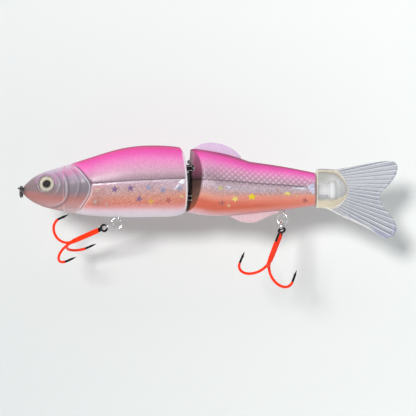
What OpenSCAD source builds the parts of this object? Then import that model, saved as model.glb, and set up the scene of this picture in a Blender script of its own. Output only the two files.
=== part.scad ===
// Jointed gliding swimbait: two hollow hard segments on a vertical pin, a soft tail on a
// peg, and two treble hooks on swivels and split rings.
// The snout points to -X and the back to +Z. The origin is the centre of the line tie's eye.
// Every length is in millimetres.

/* [Body] */
// Greatest width of the body
body_width = 21; // [17:0.5:25]
// Thickness of the shell wall
wall = 1.6; // [1.2:0.1:2.2]
// Distance from the socket's deepest line to the inside of its bulkhead
bulkhead = 3.6; // [3:0.2:5]

/* [Centre joint] */
// Distance of the joint pin behind the line tie
pivot_x = 80.5; // [79.5:0.1:81.5]
// Radius of the joint pin
pin_r = 0.95; // [0.8:0.05:1.1]
// Running gap between the pin and the bore of each eye
pin_gap = 0.05; // [0.02:0.01:0.1]
// Radius of the wire of the joint eyes
joint_wire_r = 0.7; // [0.5:0.05:0.8]
// Height of the upper joint eye
upper_eye_z = 9.5; // [7:0.5:12]
// Height of the lower joint eye
lower_eye_z = -4.5; // [-7:0.5:-2]
// Setback of the front socket for each millimetre away from the middle
socket_slope = 0.31; // [0.2:0.01:0.4]
// Setback of the rear wedge for each millimetre away from the middle
wedge_slope = 0.69; // [0.55:0.01:0.8]

/* [Line tie] */
// Middle radius of the line tie's eye
tie_r = 1.8; // [1.5:0.1:2.2]
// Radius of the line tie's wire
tie_wire_r = 0.45; // [0.35:0.05:0.55]

/* [Hook rigs] */
// Middle radius of the split rings
ring_r = 2.5; // [2.2:0.1:3]
// Radius of the wire of a split ring
ring_wire_r = 0.34; // [0.25:0.01:0.4]
// Middle radius of a swivel's eye
swivel_eye_r = 1.25; // [1.1:0.05:1.5]
// Radius of the wire of a swivel's eye
swivel_wire_r = 0.4; // [0.3:0.05:0.5]
// Distance of the front swivel behind the line tie
front_swivel_x = 45.3; // [40:0.1:50]
// Distance of the rear swivel behind the line tie
rear_swivel_x = 123.1; // [120:0.1:126]
// Bend radius of the front treble hook
front_bend_r = 6.2; // [5:0.1:8]
// Bend radius of the rear treble hook
rear_bend_r = 7.3; // [5:0.1:8]
// Radius of the hook wire
hook_wire_r = 0.62; // [0.5:0.02:0.8]

/* [Tail] */
// Thickness of the soft tail's fan at its root
fan_root = 2.2; // [1.6:0.1:3]
// Thickness of the soft tail's fan at its edge
fan_edge = 0.9; // [0.6:0.1:1.4]
// Gap between the soft tail and the peg inside it
tail_gap = 0.25; // [0.1:0.05:0.4]

/* [Hidden] */
$fn = 48;
fit = 0.02;
arc_steps = 16;
width_scale = body_width / 21;

// Outlines of the front segment: back, belly and half width, each against distance aft.
front_back = [[0.5, 0.1], [0.9, 1.2], [2.1, 2.4], [4.9, 4.9], [9.1, 7.2], [13.4, 8.7],
              [17.6, 9.9], [25.1, 12.3], [32.6, 14.7], [40.2, 17.1], [47.7, 19.0],
              [55.2, 20.0], [62.7, 20.2], [70.2, 19.9], [75.2, 19.3]];
front_belly = [[0.5, -2.3], [0.9, -3.1], [2.1, -4.3], [4.9, -6.3], [9.1, -8.3], [13.4, -9.6],
               [17.6, -10.5], [25.1, -11.8], [32.6, -12.8], [40.2, -13.3], [50.5, -13.5],
               [64.6, -13.4], [71, -12.9], [75.2, -11.7]];
front_side = [[0.5, 0.8], [0.9, 1.7], [2.1, 2.7], [4.9, 4.2], [9.1, 5.7], [13.4, 6.9],
              [17.6, 7.8], [25.1, 9], [32.6, 9.7], [40.2, 10.1], [47.7, 10.4], [55.2, 10.5],
              [75.2, 10.4]];
// The same outlines for the rear segment.
rear_back = [[77.9, 18.5], [80.1, 18.6], [85.3, 17.9], [94.2, 16.4], [102.2, 14.2],
             [106.5, 12.7], [111.6, 11.9], [119.1, 10.8], [126.6, 9.5], [134.2, 8],
             [137.8, 7.2]];
rear_belly = [[77.9, -11.3], [81.5, -12], [85.3, -12.6], [89, -12.9], [96.6, -12.7],
              [109.7, -11.4], [125.7, -9.8], [137.8, -8.1]];
rear_side = [[77.9, 10.3], [86, 10.2], [95, 9.5], [105, 8.3], [115, 7], [125, 5.7],
             [132, 4.8], [137.8, 4.2]];
// The same outlines for the bulb of the soft tail.
bulb_back = [[138.4, 9], [141, 9.1], [144, 8.9], [147.1, 8], [149.9, 5.3], [151.9, 2.2],
             [153, -0.6]];
bulb_belly = [[138.4, -9.3], [141, -9.3], [144, -9], [147.1, -8.3], [149.9, -6.4],
              [151.9, -4], [153, -2]];
bulb_side = [[138.4, 4.3], [141, 4.4], [144, 4.3], [147.1, 3.8], [149.9, 2.9], [151.9, 1.8],
             [153, 0.6]];

socket_x = 74.6;
wedge_x = 77.9;
rear_end_x = 137.8;
socket_lean = -0.057;
wedge_lean = 0.07;
lean_z = 4;
eye_at = [11.5, 6.05, 2.3];

joint_eye_r = pin_r + pin_gap + joint_wire_r;
front_eye_z = -14;
rear_eye_z = -11.85;

// Hanging angles of the hook rigs: turn of the swivel about the vertical, swing of the upper
// ring, place of the lower ring round it, side tilt of the lower ring, swing and roll of the
// hook.
front_rig = [0, 42, 70, 25.5, -3, -173];
rear_rig = [-20, 40, -8, -48, 8.7, 180];

function found(t, x, i = 0) = (i >= len(t) - 2 || x < t[i + 1][0]) ? i : found(t, x, i + 1);
function slope(t, i) =
    let(a = max(0, i - 1), b = min(len(t) - 1, i + 1))
    (t[b][1] - t[a][1]) / (t[b][0] - t[a][0]);
function curve(p, q, m, n, s) =
    (2 * s * s * s - 3 * s * s + 1) * p + (s * s * s - 2 * s * s + s) * m
    + (3 * s * s - 2 * s * s * s) * q + (s * s * s - s * s) * n;
function along(t, x) =
    let(i = found(t, x), h = t[i + 1][0] - t[i][0])
    curve(t[i][1], t[i + 1][1], slope(t, i) * h, slope(t, i + 1) * h, (x - t[i][0]) / h);
function eased(s) = let(c = min(1, max(0, s))) c * c * (3 - 2 * c);

// How far a section of either segment is bent into the socket's or the wedge's V.
function front_bend(x) = eased((x - 58) / (socket_x - 58));
function rear_bend(x) = 1 - eased((x - wedge_x) / 20);

// One section of a half body, from the belly line round the side to the back line.
// g is the inset from the outer surface, s shrinks the section, k and m lean it in x.
function section(x, back, belly, side, g, s, k, m) =
    let(top = along(back, x) - 1.2 * g, low = along(belly, x) + g,
        half = along(side, x) * width_scale - g,
        mid = low + 0.53 * (top - low))
    [for (j = [0:arc_steps])
        let(a = -90 + 180 * j / arc_steps,
            y = s * half * pow(cos(a), a > 0 ? 1 : 0.82),
            z = mid + s * (a > 0 ? top - mid : mid - low) * sin(a))
        [x + k * y + m * (z - lean_z), y, z]];
// The same section closed past the middle plane, for cutting.
function past_middle(r, k) =
    concat([[r[0][0] - k, -1, r[0][2]]], r, [[r[arc_steps][0] - k, -1, r[arc_steps][2]]]);

module skin(rings) {
    n = len(rings);
    m = len(rings[0]);
    pts = [for (r = rings) each r];
    side_a = [for (i = [0:n - 2], j = [0:m - 2]) [i * m + j, i * m + m + j, i * m + m + j + 1]];
    side_b = [for (i = [0:n - 2], j = [0:m - 2]) [i * m + j, i * m + m + j + 1, i * m + j + 1]];
    flat = [for (i = [0:n - 2]) [i * m, i * m + m - 1, i * m + 2 * m - 1, i * m + m]];
    first = [[for (j = [0:m - 1]) j]];
    last = [[for (j = [m - 1:-1:0]) n * m - m + j]];
    polyhedron(pts, concat(side_a, side_b, flat, first, last));
}

module front_outer() {
    xs = concat([0.5, 0.9, 1.4, 2.1, 3.3], [for (i = [0:22]) 4.9 + 3.1 * i], [socket_x - 0.6]);
    skin(concat(
        [for (x = xs) section(x, front_back, front_belly, front_side, 0, 1,
            socket_slope * front_bend(x), socket_lean * front_bend(x))],
        [section(socket_x, front_back, front_belly, front_side, 0, 0.965, socket_slope,
            socket_lean)]));
}

module front_cavity() {
    last = socket_x - bulkhead;
    skin([for (i = [0:12])
        let(x = 22 + (last - 22) * i / 12, k = socket_slope * front_bend(x))
        past_middle(section(x, front_back, front_belly, front_side, wall, 1, k,
            socket_lean * front_bend(x)), k)]);
}

module rear_outer() {
    xs = concat([wedge_x + 0.6, 79.8, 81.4], [for (i = [0:17]) 83.4 + 3 * i],
        [rear_end_x - 0.5]);
    skin(concat(
        [section(wedge_x, rear_back, rear_belly, rear_side, 0, 0.965, wedge_slope, wedge_lean)],
        [for (x = xs) section(x, rear_back, rear_belly, rear_side, 0, 1,
            wedge_slope * rear_bend(x), wedge_lean * rear_bend(x))],
        [section(rear_end_x, rear_back, rear_belly, rear_side, 0, 0.93, 0, 0)]));
}

module rear_cavity() {
    first = wedge_x + 5.8;
    skin([for (i = [0:12])
        let(x = first + (130.4 - first) * i / 12, k = wedge_slope * rear_bend(x))
        past_middle(section(x, rear_back, rear_belly, rear_side, wall, 1, k,
            wedge_lean * rear_bend(x)), k)]);
}

// A torus round Z.
module loop(r, w) {
    rotate_extrude() translate([r, 0]) circle(r = w);
}

// A rod along +X.
module rod(x0, x1, r) {
    translate([x0, 0, 0]) rotate([0, 90, 0]) cylinder(r = r, h = x1 - x0);
}

// ---- front segment ----

module tie_shape(g) {
    loop(tie_r, tie_wire_r + g);
    rod(tie_r - 0.05, 9, tie_wire_r - 0.05 + g);
    translate([8.9 + tie_r, 0, 0]) loop(tie_r, tie_wire_r + g);
}

module weight_shape(x0, x1, r, z, g) {
    translate([0, 0, z]) rod(x0 - g, x1 + g, r + g);
}

module weight_cradle(x0, x1, r, z) {
    difference() {
        for (x = [x0 + 2, x1 - 3.4]) translate([x, -20, -20]) cube([1.4, 40, 20 + z]);
        weight_shape(x0, x1, r, z, fit);
    }
}

module swivel_bore(x, z0, z1) {
    translate([x, 0, z0]) cylinder(r = 0.6 + pin_gap, h = z1 - z0);
}

module eye_frame() {
    translate(eye_at) rotate([0, 0, 15]) rotate([-80, 0, 0]) children();
}

module joint_eye_shape(z, g) {
    translate([pivot_x, 0, z]) loop(joint_eye_r, joint_wire_r);
    translate([0, 0, z]) rod(70, pivot_x - joint_eye_r + 0.05, joint_wire_r - 0.08 + g);
    translate([0, 0, z]) rod(69, 70.4, 1.5);
}

module front_half() {
    difference() {
        front_outer();
        difference() {
            front_cavity();
            translate([front_swivel_x, 0, -20]) cylinder(r = 3.4, h = 11.5);
            weight_cradle(50.5, 68.5, 3.2, -8.3);
        }
        tie_shape(fit);
        translate([front_swivel_x, 0, -20]) cylinder(r = 1.95, h = 7.8);
        swivel_bore(front_swivel_x, -13, -8);
        for (z = [upper_eye_z, lower_eye_z])
            translate([0, 0, z]) rod(68, 82, joint_wire_r - 0.08 + fit);
        eye_frame() translate([0, 0, -1.25]) cylinder(r = 3.62, h = 8);
    }
}

module front_shell_right() {
    color([0.88, 0.45, 0.62]) front_half();
}

module front_shell_left() {
    color([0.9, 0.42, 0.62]) mirror([0, 1, 0]) front_half();
}

module eye_disc() {
    eye_frame() translate([0, 0, -1.23]) cylinder(r = 3.6, h = 0.45);
}

module eye_dome() {
    eye_frame() intersection() {
        translate([0, 0, -5.4]) sphere(r = 5.85);
        translate([0, 0, -0.76]) cylinder(r = 4, h = 3);
    }
}

module right_eye_disc() {
    color([0.9, 0.87, 0.72]) eye_disc();
}

module left_eye_disc() {
    color([0.9, 0.87, 0.72]) mirror([0, 1, 0]) eye_disc();
}

module right_eye_dome() {
    color([0.9, 0.95, 1, 0.4]) eye_dome();
}

module left_eye_dome() {
    color([0.9, 0.95, 1, 0.4]) mirror([0, 1, 0]) eye_dome();
}

module line_tie() {
    color([0.5, 0.5, 0.52]) tie_shape(0);
}

module front_ballast() {
    color([0.45, 0.45, 0.47]) weight_shape(50.5, 68.5, 3.2, -8.3, 0);
}

module upper_joint_eye() {
    color([0.6, 0.6, 0.62]) joint_eye_shape(upper_eye_z, 0);
}

module lower_joint_eye() {
    color([0.6, 0.6, 0.62]) joint_eye_shape(lower_eye_z, 0);
}

// ---- rings, swivels and hooks ----

// A split ring round Y: two turns of wire pressed together.
module split_ring() {
    rotate([90, 0, 0]) {
        translate([0, 0, 0.8 * ring_wire_r]) loop(ring_r, ring_wire_r);
        translate([0, 0, -0.8 * ring_wire_r]) loop(ring_r, ring_wire_r);
    }
}

// A swivel with its eye's centre at [x, 0, z], its stem up to z1 and a head on top.
module swivel(x, z, turn, z1) {
    translate([x, 0, z]) {
        rotate([0, 90, turn]) loop(swivel_eye_r, swivel_wire_r);
        translate([0, 0, swivel_eye_r]) cylinder(r = 0.6, h = z1 - z - swivel_eye_r + 0.2);
        translate([0, 0, z1 - z + 0.1]) cylinder(r = 1.3, h = 0.8);
    }
}

// Distance from a link's pin point to the centre of the ring hung on it.
hung = ring_r - 2 * ring_wire_r - 0.27;

// Places its children in the frame of one link of a hook rig: 1 the upper ring, 2 the lower
// ring, 3 the hook. The frame's origin is the point the link turns about.
module on_link(n, x, z, rig) {
    translate([x, 0, z - swivel_eye_r]) rotate([0, 0, rig[0]]) {
        if (n == 1) rotate([0, rig[1], 0]) children();
        if (n > 1) translate(hung * [-sin(rig[1]), 0, -cos(rig[1])]) rotate([0, rig[2], 0])
            translate([0, 0, -ring_r]) rotate([rig[3], 0, 0]) {
                if (n == 2) children();
                if (n == 3) translate([0, 0, -hung - ring_r]) rotate([0, rig[4], 0]) children();
            }
    }
}

module upper_ring(x, z, rig) {
    on_link(1, x, z, rig) translate([0, 0, -hung]) split_ring();
}

module lower_ring(x, z, rig) {
    on_link(2, x, z, rig) translate([0, 0, -hung]) rotate([0, 0, 90]) split_ring();
}

// One point of a treble: the bend and the straight run up to the tip.
module hook_arm(bend_r, bend_z, point) {
    translate([0.3 + bend_r, 0, bend_z]) rotate([90, 180, 0])
        rotate_extrude(angle = 180) translate([bend_r, 0]) circle(r = hook_wire_r);
    translate([0.3 + 2 * bend_r, 0, bend_z - 0.2]) {
        cylinder(r = hook_wire_r - 0.02, h = point - 2.8);
        translate([0, 0, point - 2.9]) cylinder(r1 = hook_wire_r - 0.02, r2 = 0.06, h = 3.1);
    }
}

// A treble hook hung by its eye from the frame's origin, its shank along -Z.
module treble(bend_r, shank, point, roll) {
    eye_r = 1.5;
    translate([0, 0, -0.36]) {
        rotate([90, 0, 0]) loop(eye_r, 0.5);
        translate([0, 0, -shank - 0.8]) cylinder(r = 1, h = shank + 0.8 - eye_r);
        for (a = [0, 120, 240]) rotate([0, 0, roll + a]) hook_arm(bend_r, -shank, point);
    }
}

module front_swivel() {
    color([0.7, 0.7, 0.72]) swivel(front_swivel_x, front_eye_z, front_rig[0], -8.5);
}

module front_upper_ring() {
    color([0.75, 0.75, 0.77]) upper_ring(front_swivel_x, front_eye_z, front_rig);
}

module front_lower_ring() {
    color([0.75, 0.75, 0.77]) lower_ring(front_swivel_x, front_eye_z, front_rig);
}

module front_treble_hook() {
    color([0.95, 0.2, 0.08]) on_link(3, front_swivel_x, front_eye_z, front_rig)
        treble(front_bend_r, 19.6, 5.7, front_rig[5]);
}

module rear_swivel() {
    color([0.7, 0.7, 0.72]) swivel(rear_swivel_x, rear_eye_z, rear_rig[0], -5.6);
}

module rear_upper_ring() {
    color([0.75, 0.75, 0.77]) upper_ring(rear_swivel_x, rear_eye_z, rear_rig);
}

module rear_lower_ring() {
    color([0.75, 0.75, 0.77]) lower_ring(rear_swivel_x, rear_eye_z, rear_rig);
}

module rear_treble_hook() {
    color([0.95, 0.2, 0.08]) on_link(3, rear_swivel_x, rear_eye_z, rear_rig)
        treble(rear_bend_r, 21.1, 7.4, rear_rig[5]);
}

// Hangs from the near side of the line tie's eye, edge-on to the snout.
module nose_ring() {
    color([0.45, 0.45, 0.47]) translate([-0.25, -1.783, -1.6]) rotate([0, 0, 90]) split_ring();
}

// ---- rear segment ----

module joint_pin() {
    color([0.6, 0.6, 0.62]) translate([pivot_x, 0, -9.5]) cylinder(r = pin_r, h = 25);
}

// A fin's outline: free edge points, then back along the body's own line at depth d.
function fin_outline(edge, t, x0, x1, d) =
    concat(edge, [for (i = [8:-1:0]) let(x = x0 + (x1 - x0) * i / 8) [x, along(t, x) + d]]);

dorsal_edge = [[80.4, 18.75], [82.3, 20.1], [84.5, 21.05], [88.2, 21.6], [91.5, 21.3],
               [94.6, 20.5], [97.6, 19.2], [100.2, 17.5], [102.4, 15.3], [102.8, 14.5]];
anal_edge = [[96.6, -12.9], [99, -13.9], [102, -15.4], [105, -16.05], [108.2, -16.1],
             [110.4, -15.6], [114.5, -13.7], [118, -12.2], [120.6, -11.4]];

module fin_plate(outline, half, g) {
    rotate([90, 0, 0]) translate([0, 0, -half - g]) linear_extrude(2 * half + 2 * g)
        polygon(outline);
}

module fin_grooves() {
    fin_plate(concat([[80.38, 30]], [[102.83, 30]],
        [for (i = [8:-1:0]) let(x = 80.38 + 22.45 * i / 8) [x, along(rear_back, x) - 1.25]]),
        0.7, fit);
    fin_plate(concat([[96.58, -30]], [[120.63, -30]],
        [for (i = [8:-1:0]) let(x = 96.58 + 24.05 * i / 8) [x, along(rear_belly, x) + 1.25]]),
        0.7, fit);
}

module dorsal_fin() {
    color([0.85, 0.7, 0.9]) fin_plate(fin_outline(dorsal_edge, rear_back, 80.4, 102.8, -1.2),
        0.7, 0);
}

module anal_fin() {
    color([0.88, 0.68, 0.74]) fin_plate(fin_outline(anal_edge, rear_belly, 96.6, 120.6, 1.2),
        0.7, 0);
}

module rear_half() {
    difference() {
        rear_outer();
        difference() {
            rear_cavity();
            translate([rear_swivel_x, 0, -15]) cylinder(r = 2.6, h = 9.4);
            weight_cradle(92, 105, 2.3, -7.4);
        }
        swivel_bore(rear_swivel_x, -12, -5);
        translate([pivot_x, 0, -9.55]) cylinder(r = pin_r + fit, h = 25.1);
        for (z = [upper_eye_z, lower_eye_z])
            translate([pivot_x, 0, z - 1.1]) cylinder(r = 3.4, h = 2.2);
        anchor_root(fit);
        fin_grooves();
    }
}

module rear_shell_right() {
    color([0.86, 0.45, 0.5]) rear_half();
}

module rear_shell_left() {
    color([0.88, 0.43, 0.5]) mirror([0, 1, 0]) rear_half();
}

module rear_ballast() {
    color([0.45, 0.45, 0.47]) weight_shape(92, 105, 2.3, -7.4, 0);
}

// ---- tail ----

// The part of the tail peg that the rear segment's halves clamp.
module anchor_root(g) {
    translate([132.4 - g, -2.2 - g, -4.4 - g]) cube([2 + 2 * g, 4.4 + 2 * g, 7.6 + 2 * g]);
    translate([133.4 - g, -1.4 - g, -3.1 - g]) cube([6, 2.8 + 2 * g, 5 + 2 * g]);
}

// The part of the peg that stands out of the rear segment.
module anchor_head(g) {
    translate([136, -1.4 - g, -3.1 - g]) cube([9.4, 2.8 + 2 * g, 5 + 2 * g]);
    translate([145.5, 0, -0.8]) rotate_extrude()
        polygon([[0, -4.5 - g], [1.3 + g, -4.5 - g], [2.1 + g, -3.5 - g], [2.1 + g, 3.5 + g],
                 [1.3 + g, 4.5 + g], [0, 4.5 + g]]);
}

module tail_anchor() {
    color([0.93, 0.93, 0.9]) {
        anchor_root(0);
        anchor_head(0);
    }
}

fan_edge_line = [[141, 9.3], [147.1, 8.9], [156.7, 10.6], [164.2, 12], [171.8, 12.9],
                 [174.6, 12.5], [176.3, 10.8], [176.3, 8.6], [175.4, 5.9], [173.2, 2.8],
                 [169.7, -1], [167.6, -2.1], [168.2, -4.2], [169, -6.6], [170.4, -9.7],
                 [173.2, -12.5], [175.2, -16], [175.9, -18.8], [174.9, -21.5], [172.1, -23.5],
                 [168.7, -22.9], [164.5, -20.2], [156.1, -16], [147.1, -11.8], [142.5, -9.4]];

module bulb() {
    xs = [138.4, 140, 142, 144, 145.6, 147.1, 148.6, 149.9, 151, 151.9, 152.6, 153];
    for (side = [0, 1]) mirror([0, side, 0])
        skin([for (x = xs) past_middle(section(x, bulb_back, bulb_belly, bulb_side, 0, 1, 0, 0),
            0)]);
}

// The flat of the tail, thinned from its root to its edge.
module fan() {
    a = fan_root / 2;
    b = fan_edge / 2;
    intersection() {
        rotate([90, 0, 0]) translate([0, 0, -4]) linear_extrude(8) polygon(fan_edge_line);
        translate([0, 0, -30]) linear_extrude(60)
            polygon([[140, -a], [178, -b], [178, b], [140, a]]);
    }
}

module soft_tail() {
    color([0.82, 0.84, 0.86, 0.6]) difference() {
        union() {
            bulb();
            fan();
        }
        anchor_head(tail_gap);
    }
}

front_shell_left();
front_shell_right();
left_eye_disc();
left_eye_dome();
right_eye_disc();
right_eye_dome();
line_tie();
nose_ring();
front_ballast();
front_swivel();
front_upper_ring();
front_lower_ring();
front_treble_hook();
upper_joint_eye();
lower_joint_eye();
joint_pin();
rear_shell_left();
rear_shell_right();
dorsal_fin();
anal_fin();
rear_ballast();
rear_swivel();
rear_upper_ring();
rear_lower_ring();
rear_treble_hook();
tail_anchor();
soft_tail();
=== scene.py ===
"""Looks of the jointed gliding swimbait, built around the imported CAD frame. Lengths below are in
millimetres in the row frame: snout to -X, back to +Z, the fish's left side to -Y."""
import math

import bmesh
import bpy
import numpy as np
from mathutils import Matrix, Vector
from mathutils.bvhtree import BVHTree


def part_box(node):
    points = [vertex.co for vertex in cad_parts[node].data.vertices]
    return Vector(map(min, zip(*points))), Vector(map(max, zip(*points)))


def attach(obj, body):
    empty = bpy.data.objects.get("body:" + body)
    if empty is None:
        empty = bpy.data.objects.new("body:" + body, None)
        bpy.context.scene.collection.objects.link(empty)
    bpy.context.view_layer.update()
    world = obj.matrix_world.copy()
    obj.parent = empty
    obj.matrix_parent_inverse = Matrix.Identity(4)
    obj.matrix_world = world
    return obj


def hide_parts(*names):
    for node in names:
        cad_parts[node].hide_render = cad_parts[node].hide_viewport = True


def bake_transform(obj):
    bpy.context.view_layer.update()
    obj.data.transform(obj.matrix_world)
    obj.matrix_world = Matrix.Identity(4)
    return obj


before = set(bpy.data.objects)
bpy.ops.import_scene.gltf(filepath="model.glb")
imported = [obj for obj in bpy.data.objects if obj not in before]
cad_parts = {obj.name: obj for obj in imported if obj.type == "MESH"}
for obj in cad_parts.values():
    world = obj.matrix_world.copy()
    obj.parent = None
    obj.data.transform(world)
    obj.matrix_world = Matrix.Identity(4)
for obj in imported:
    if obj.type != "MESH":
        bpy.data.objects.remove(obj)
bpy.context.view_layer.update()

MM = 0.001
SIDES = (("left", -1), ("right", 1))
rng = np.random.default_rng(7)
scene = bpy.context.scene

# ---------------------------------------------------------------- camera, light and backdrop

VIEW_CENTRE = (87.2, -9.2)
VIEW_WIDTH = 195.5
LENS, SENSOR = 120.0, 36.0
cam_data = bpy.data.cameras.new("camera")
cam_data.lens, cam_data.sensor_width = LENS, SENSOR
cam_data.clip_start, cam_data.clip_end = 0.01, 20
camera = bpy.data.objects.new("camera", cam_data)
scene.collection.objects.link(camera)
camera.location = (VIEW_CENTRE[0] * MM, -VIEW_WIDTH * LENS / SENSOR * MM, VIEW_CENTRE[1] * MM)
camera.rotation_euler = (math.radians(90), 0, 0)
scene.camera = camera
scene.view_settings.view_transform = "Standard"


def srgb(r, g, b):
    """Linear colour of an 8-bit sRGB one."""
    c = np.array([r, g, b], float) / 255
    return np.where(c <= 0.04045, c / 12.92, ((c + 0.055) / 1.055) ** 2.4)


def rgba(c, a=1.0):
    return (float(c[0]), float(c[1]), float(c[2]), a)


def hue(colour):
    """A socket's colour from an 8-bit sRGB one."""
    return rgba(srgb(*colour))


def link(obj):
    scene.collection.objects.link(obj)
    return obj


def mesh_object(name, verts, faces, smooth=True, sharp=None):
    """A mesh object from vertices in millimetres."""
    me = bpy.data.meshes.new(name)
    me.from_pydata((np.asarray(verts, float) * MM).tolist(), [], [list(map(int, f)) for f in faces])
    me.validate()
    me.update()
    obj = link(bpy.data.objects.new(name, me))
    finish_mesh(obj, smooth, sharp)
    return obj


def finish_mesh(obj, smooth=True, sharp=None):
    me = obj.data
    bm = bmesh.new()
    bm.from_mesh(me)
    bmesh.ops.recalc_face_normals(bm, faces=bm.faces)
    bm.to_mesh(me)
    bm.free()
    me.polygons.foreach_set("use_smooth", [smooth] * len(me.polygons))
    if sharp:
        me.set_sharp_from_angle(angle=math.radians(sharp))
    me.update()


def band_faces(rows, around, start=0, wrap=False):
    """Faces between closed rings of points. wrap joins the last ring to the first."""
    faces = []
    for i in range(rows if wrap else rows - 1):
        a, b = start + i * around, start + (i + 1) % rows * around
        faces += [(a + j, a + (j + 1) % around, b + (j + 1) % around, b + j) for j in range(around)]
    return faces


def sheet_faces(rows, cols, start=0):
    """Faces between open rows of points."""
    return [(a, a + 1, a + cols + 1, a + cols) for i in range(rows - 1)
            for a in range(start + i * cols, start + i * cols + cols - 1)]


def capped_rod(rows):
    """A closed rod from rings of points."""
    n, k = len(rows), len(rows[0])
    ends = [list(range(k)), [(n - 1) * k + j for j in range(k)]]
    return [p for row in rows for p in row], band_faces(n, k) + ends


def joined(parts):
    """Several shapes' vertices and faces as one shape's."""
    verts, faces, base = [], [], 0
    for v, f in parts:
        verts.append(np.asarray(v, float))
        faces += [tuple(i + base for i in q) for q in f]
        base += len(v)
    return np.vstack(verts), faces


def vertex_value(obj, name, values):
    at = obj.data.attributes.new(name, "FLOAT", "POINT")
    at.data.foreach_set("value", np.asarray(values, np.float32))


def vertex_colour(obj, name, values):
    at = obj.data.attributes.new(name, "FLOAT_COLOR", "POINT")
    v = np.ones((len(values), 4), np.float32)
    v[:, :3] = values
    at.data.foreach_set("color", v.ravel())


# ---------------------------------------------------------------- material nodes


class Nodes:
    """A short way to write a node material."""

    def __init__(self, name):
        self.mat = bpy.data.materials.new(name)
        self.mat.use_nodes = True
        self.tree = self.mat.node_tree
        self.tree.nodes.clear()
        self.out = self.add("ShaderNodeOutputMaterial")
        self.coord = self.add("ShaderNodeTexCoord").outputs["Object"]

    def add(self, kind, **values):
        n = self.tree.nodes.new(kind)
        for k, v in values.items():
            setattr(n, k, v)
        return n

    def put(self, socket, value):
        if isinstance(value, bpy.types.NodeSocket):
            self.tree.links.new(value, socket)
        else:
            socket.default_value = value

    def math(self, op, a, b=0.0, clamp=False):
        n = self.add("ShaderNodeMath", operation=op, use_clamp=clamp)
        self.put(n.inputs[0], a)
        self.put(n.inputs[1], b)
        return n.outputs[0]

    def mix(self, fac, a, b, kind="MIX"):
        n = self.add("ShaderNodeMix", data_type="RGBA", blend_type=kind)
        self.put(n.inputs[0], fac)
        self.put(n.inputs[6], a)
        self.put(n.inputs[7], b)
        return n.outputs[2]

    def times(self, a, b):
        return self.math("MULTIPLY", a, b)

    def plus(self, a, b, clamp=False):
        return self.math("ADD", a, b, clamp)

    def split(self, colour):
        n = self.add("ShaderNodeSeparateColor")
        self.put(n.inputs[0], colour)
        return n.outputs

    def mix_shader(self, fac, first, second):
        n = self.add("ShaderNodeMixShader")
        for socket, value in zip(n.inputs, (fac, first.outputs[0], second.outputs[0])):
            self.put(socket, value)
        return n.outputs[0]

    def attribute(self, name):
        return self.add("ShaderNodeAttribute", attribute_name=name)

    def stretched(self, scale):
        n = self.add("ShaderNodeMapping")
        self.put(n.inputs["Vector"], self.coord)
        n.inputs["Scale"].default_value = scale
        return n.outputs[0]

    def noise(self, scale, detail=3.0, rough=0.55, vector=None):
        n = self.add("ShaderNodeTexNoise")
        self.put(n.inputs["Vector"], vector or self.coord)
        n.inputs["Scale"].default_value = scale
        n.inputs["Detail"].default_value = detail
        n.inputs["Roughness"].default_value = rough
        return n

    def cells(self, scale, vector=None):
        n = self.add("ShaderNodeTexVoronoi")
        self.put(n.inputs["Vector"], vector or self.coord)
        n.inputs["Scale"].default_value = scale
        return n

    def range(self, value, a, b, c, d):
        n = self.add("ShaderNodeMapRange")
        self.put(n.inputs["Value"], value)
        for i, v in enumerate((a, b, c, d)):
            n.inputs[1 + i].default_value = v
        return n.outputs[0]

    def ramp(self, fac, stops):
        n = self.add("ShaderNodeValToRGB")
        self.put(n.inputs[0], fac)
        els = n.color_ramp.elements
        while len(els) < len(stops):
            els.new(0.5)
        for e, (p, c) in zip(els, stops):
            e.position, e.color = p, hue(c)
        return n.outputs["Color"]

    def bump(self, height, strength, distance=0.0001, normal=None):
        n = self.add("ShaderNodeBump")
        n.inputs["Strength"].default_value = strength
        n.inputs["Distance"].default_value = distance
        self.put(n.inputs["Height"], height)
        if normal is not None:
            self.put(n.inputs["Normal"], normal)
        return n.outputs[0]

    def principled(self, **values):
        n = self.add("ShaderNodeBsdfPrincipled")
        for k, v in values.items():
            self.put(n.inputs[k.replace("_", " ")], v)
        return n

    def end(self, shader):
        self.tree.links.new(shader, self.out.inputs["Surface"])
        return self.mat


# ---------------------------------------------------------------- backdrop


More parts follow.
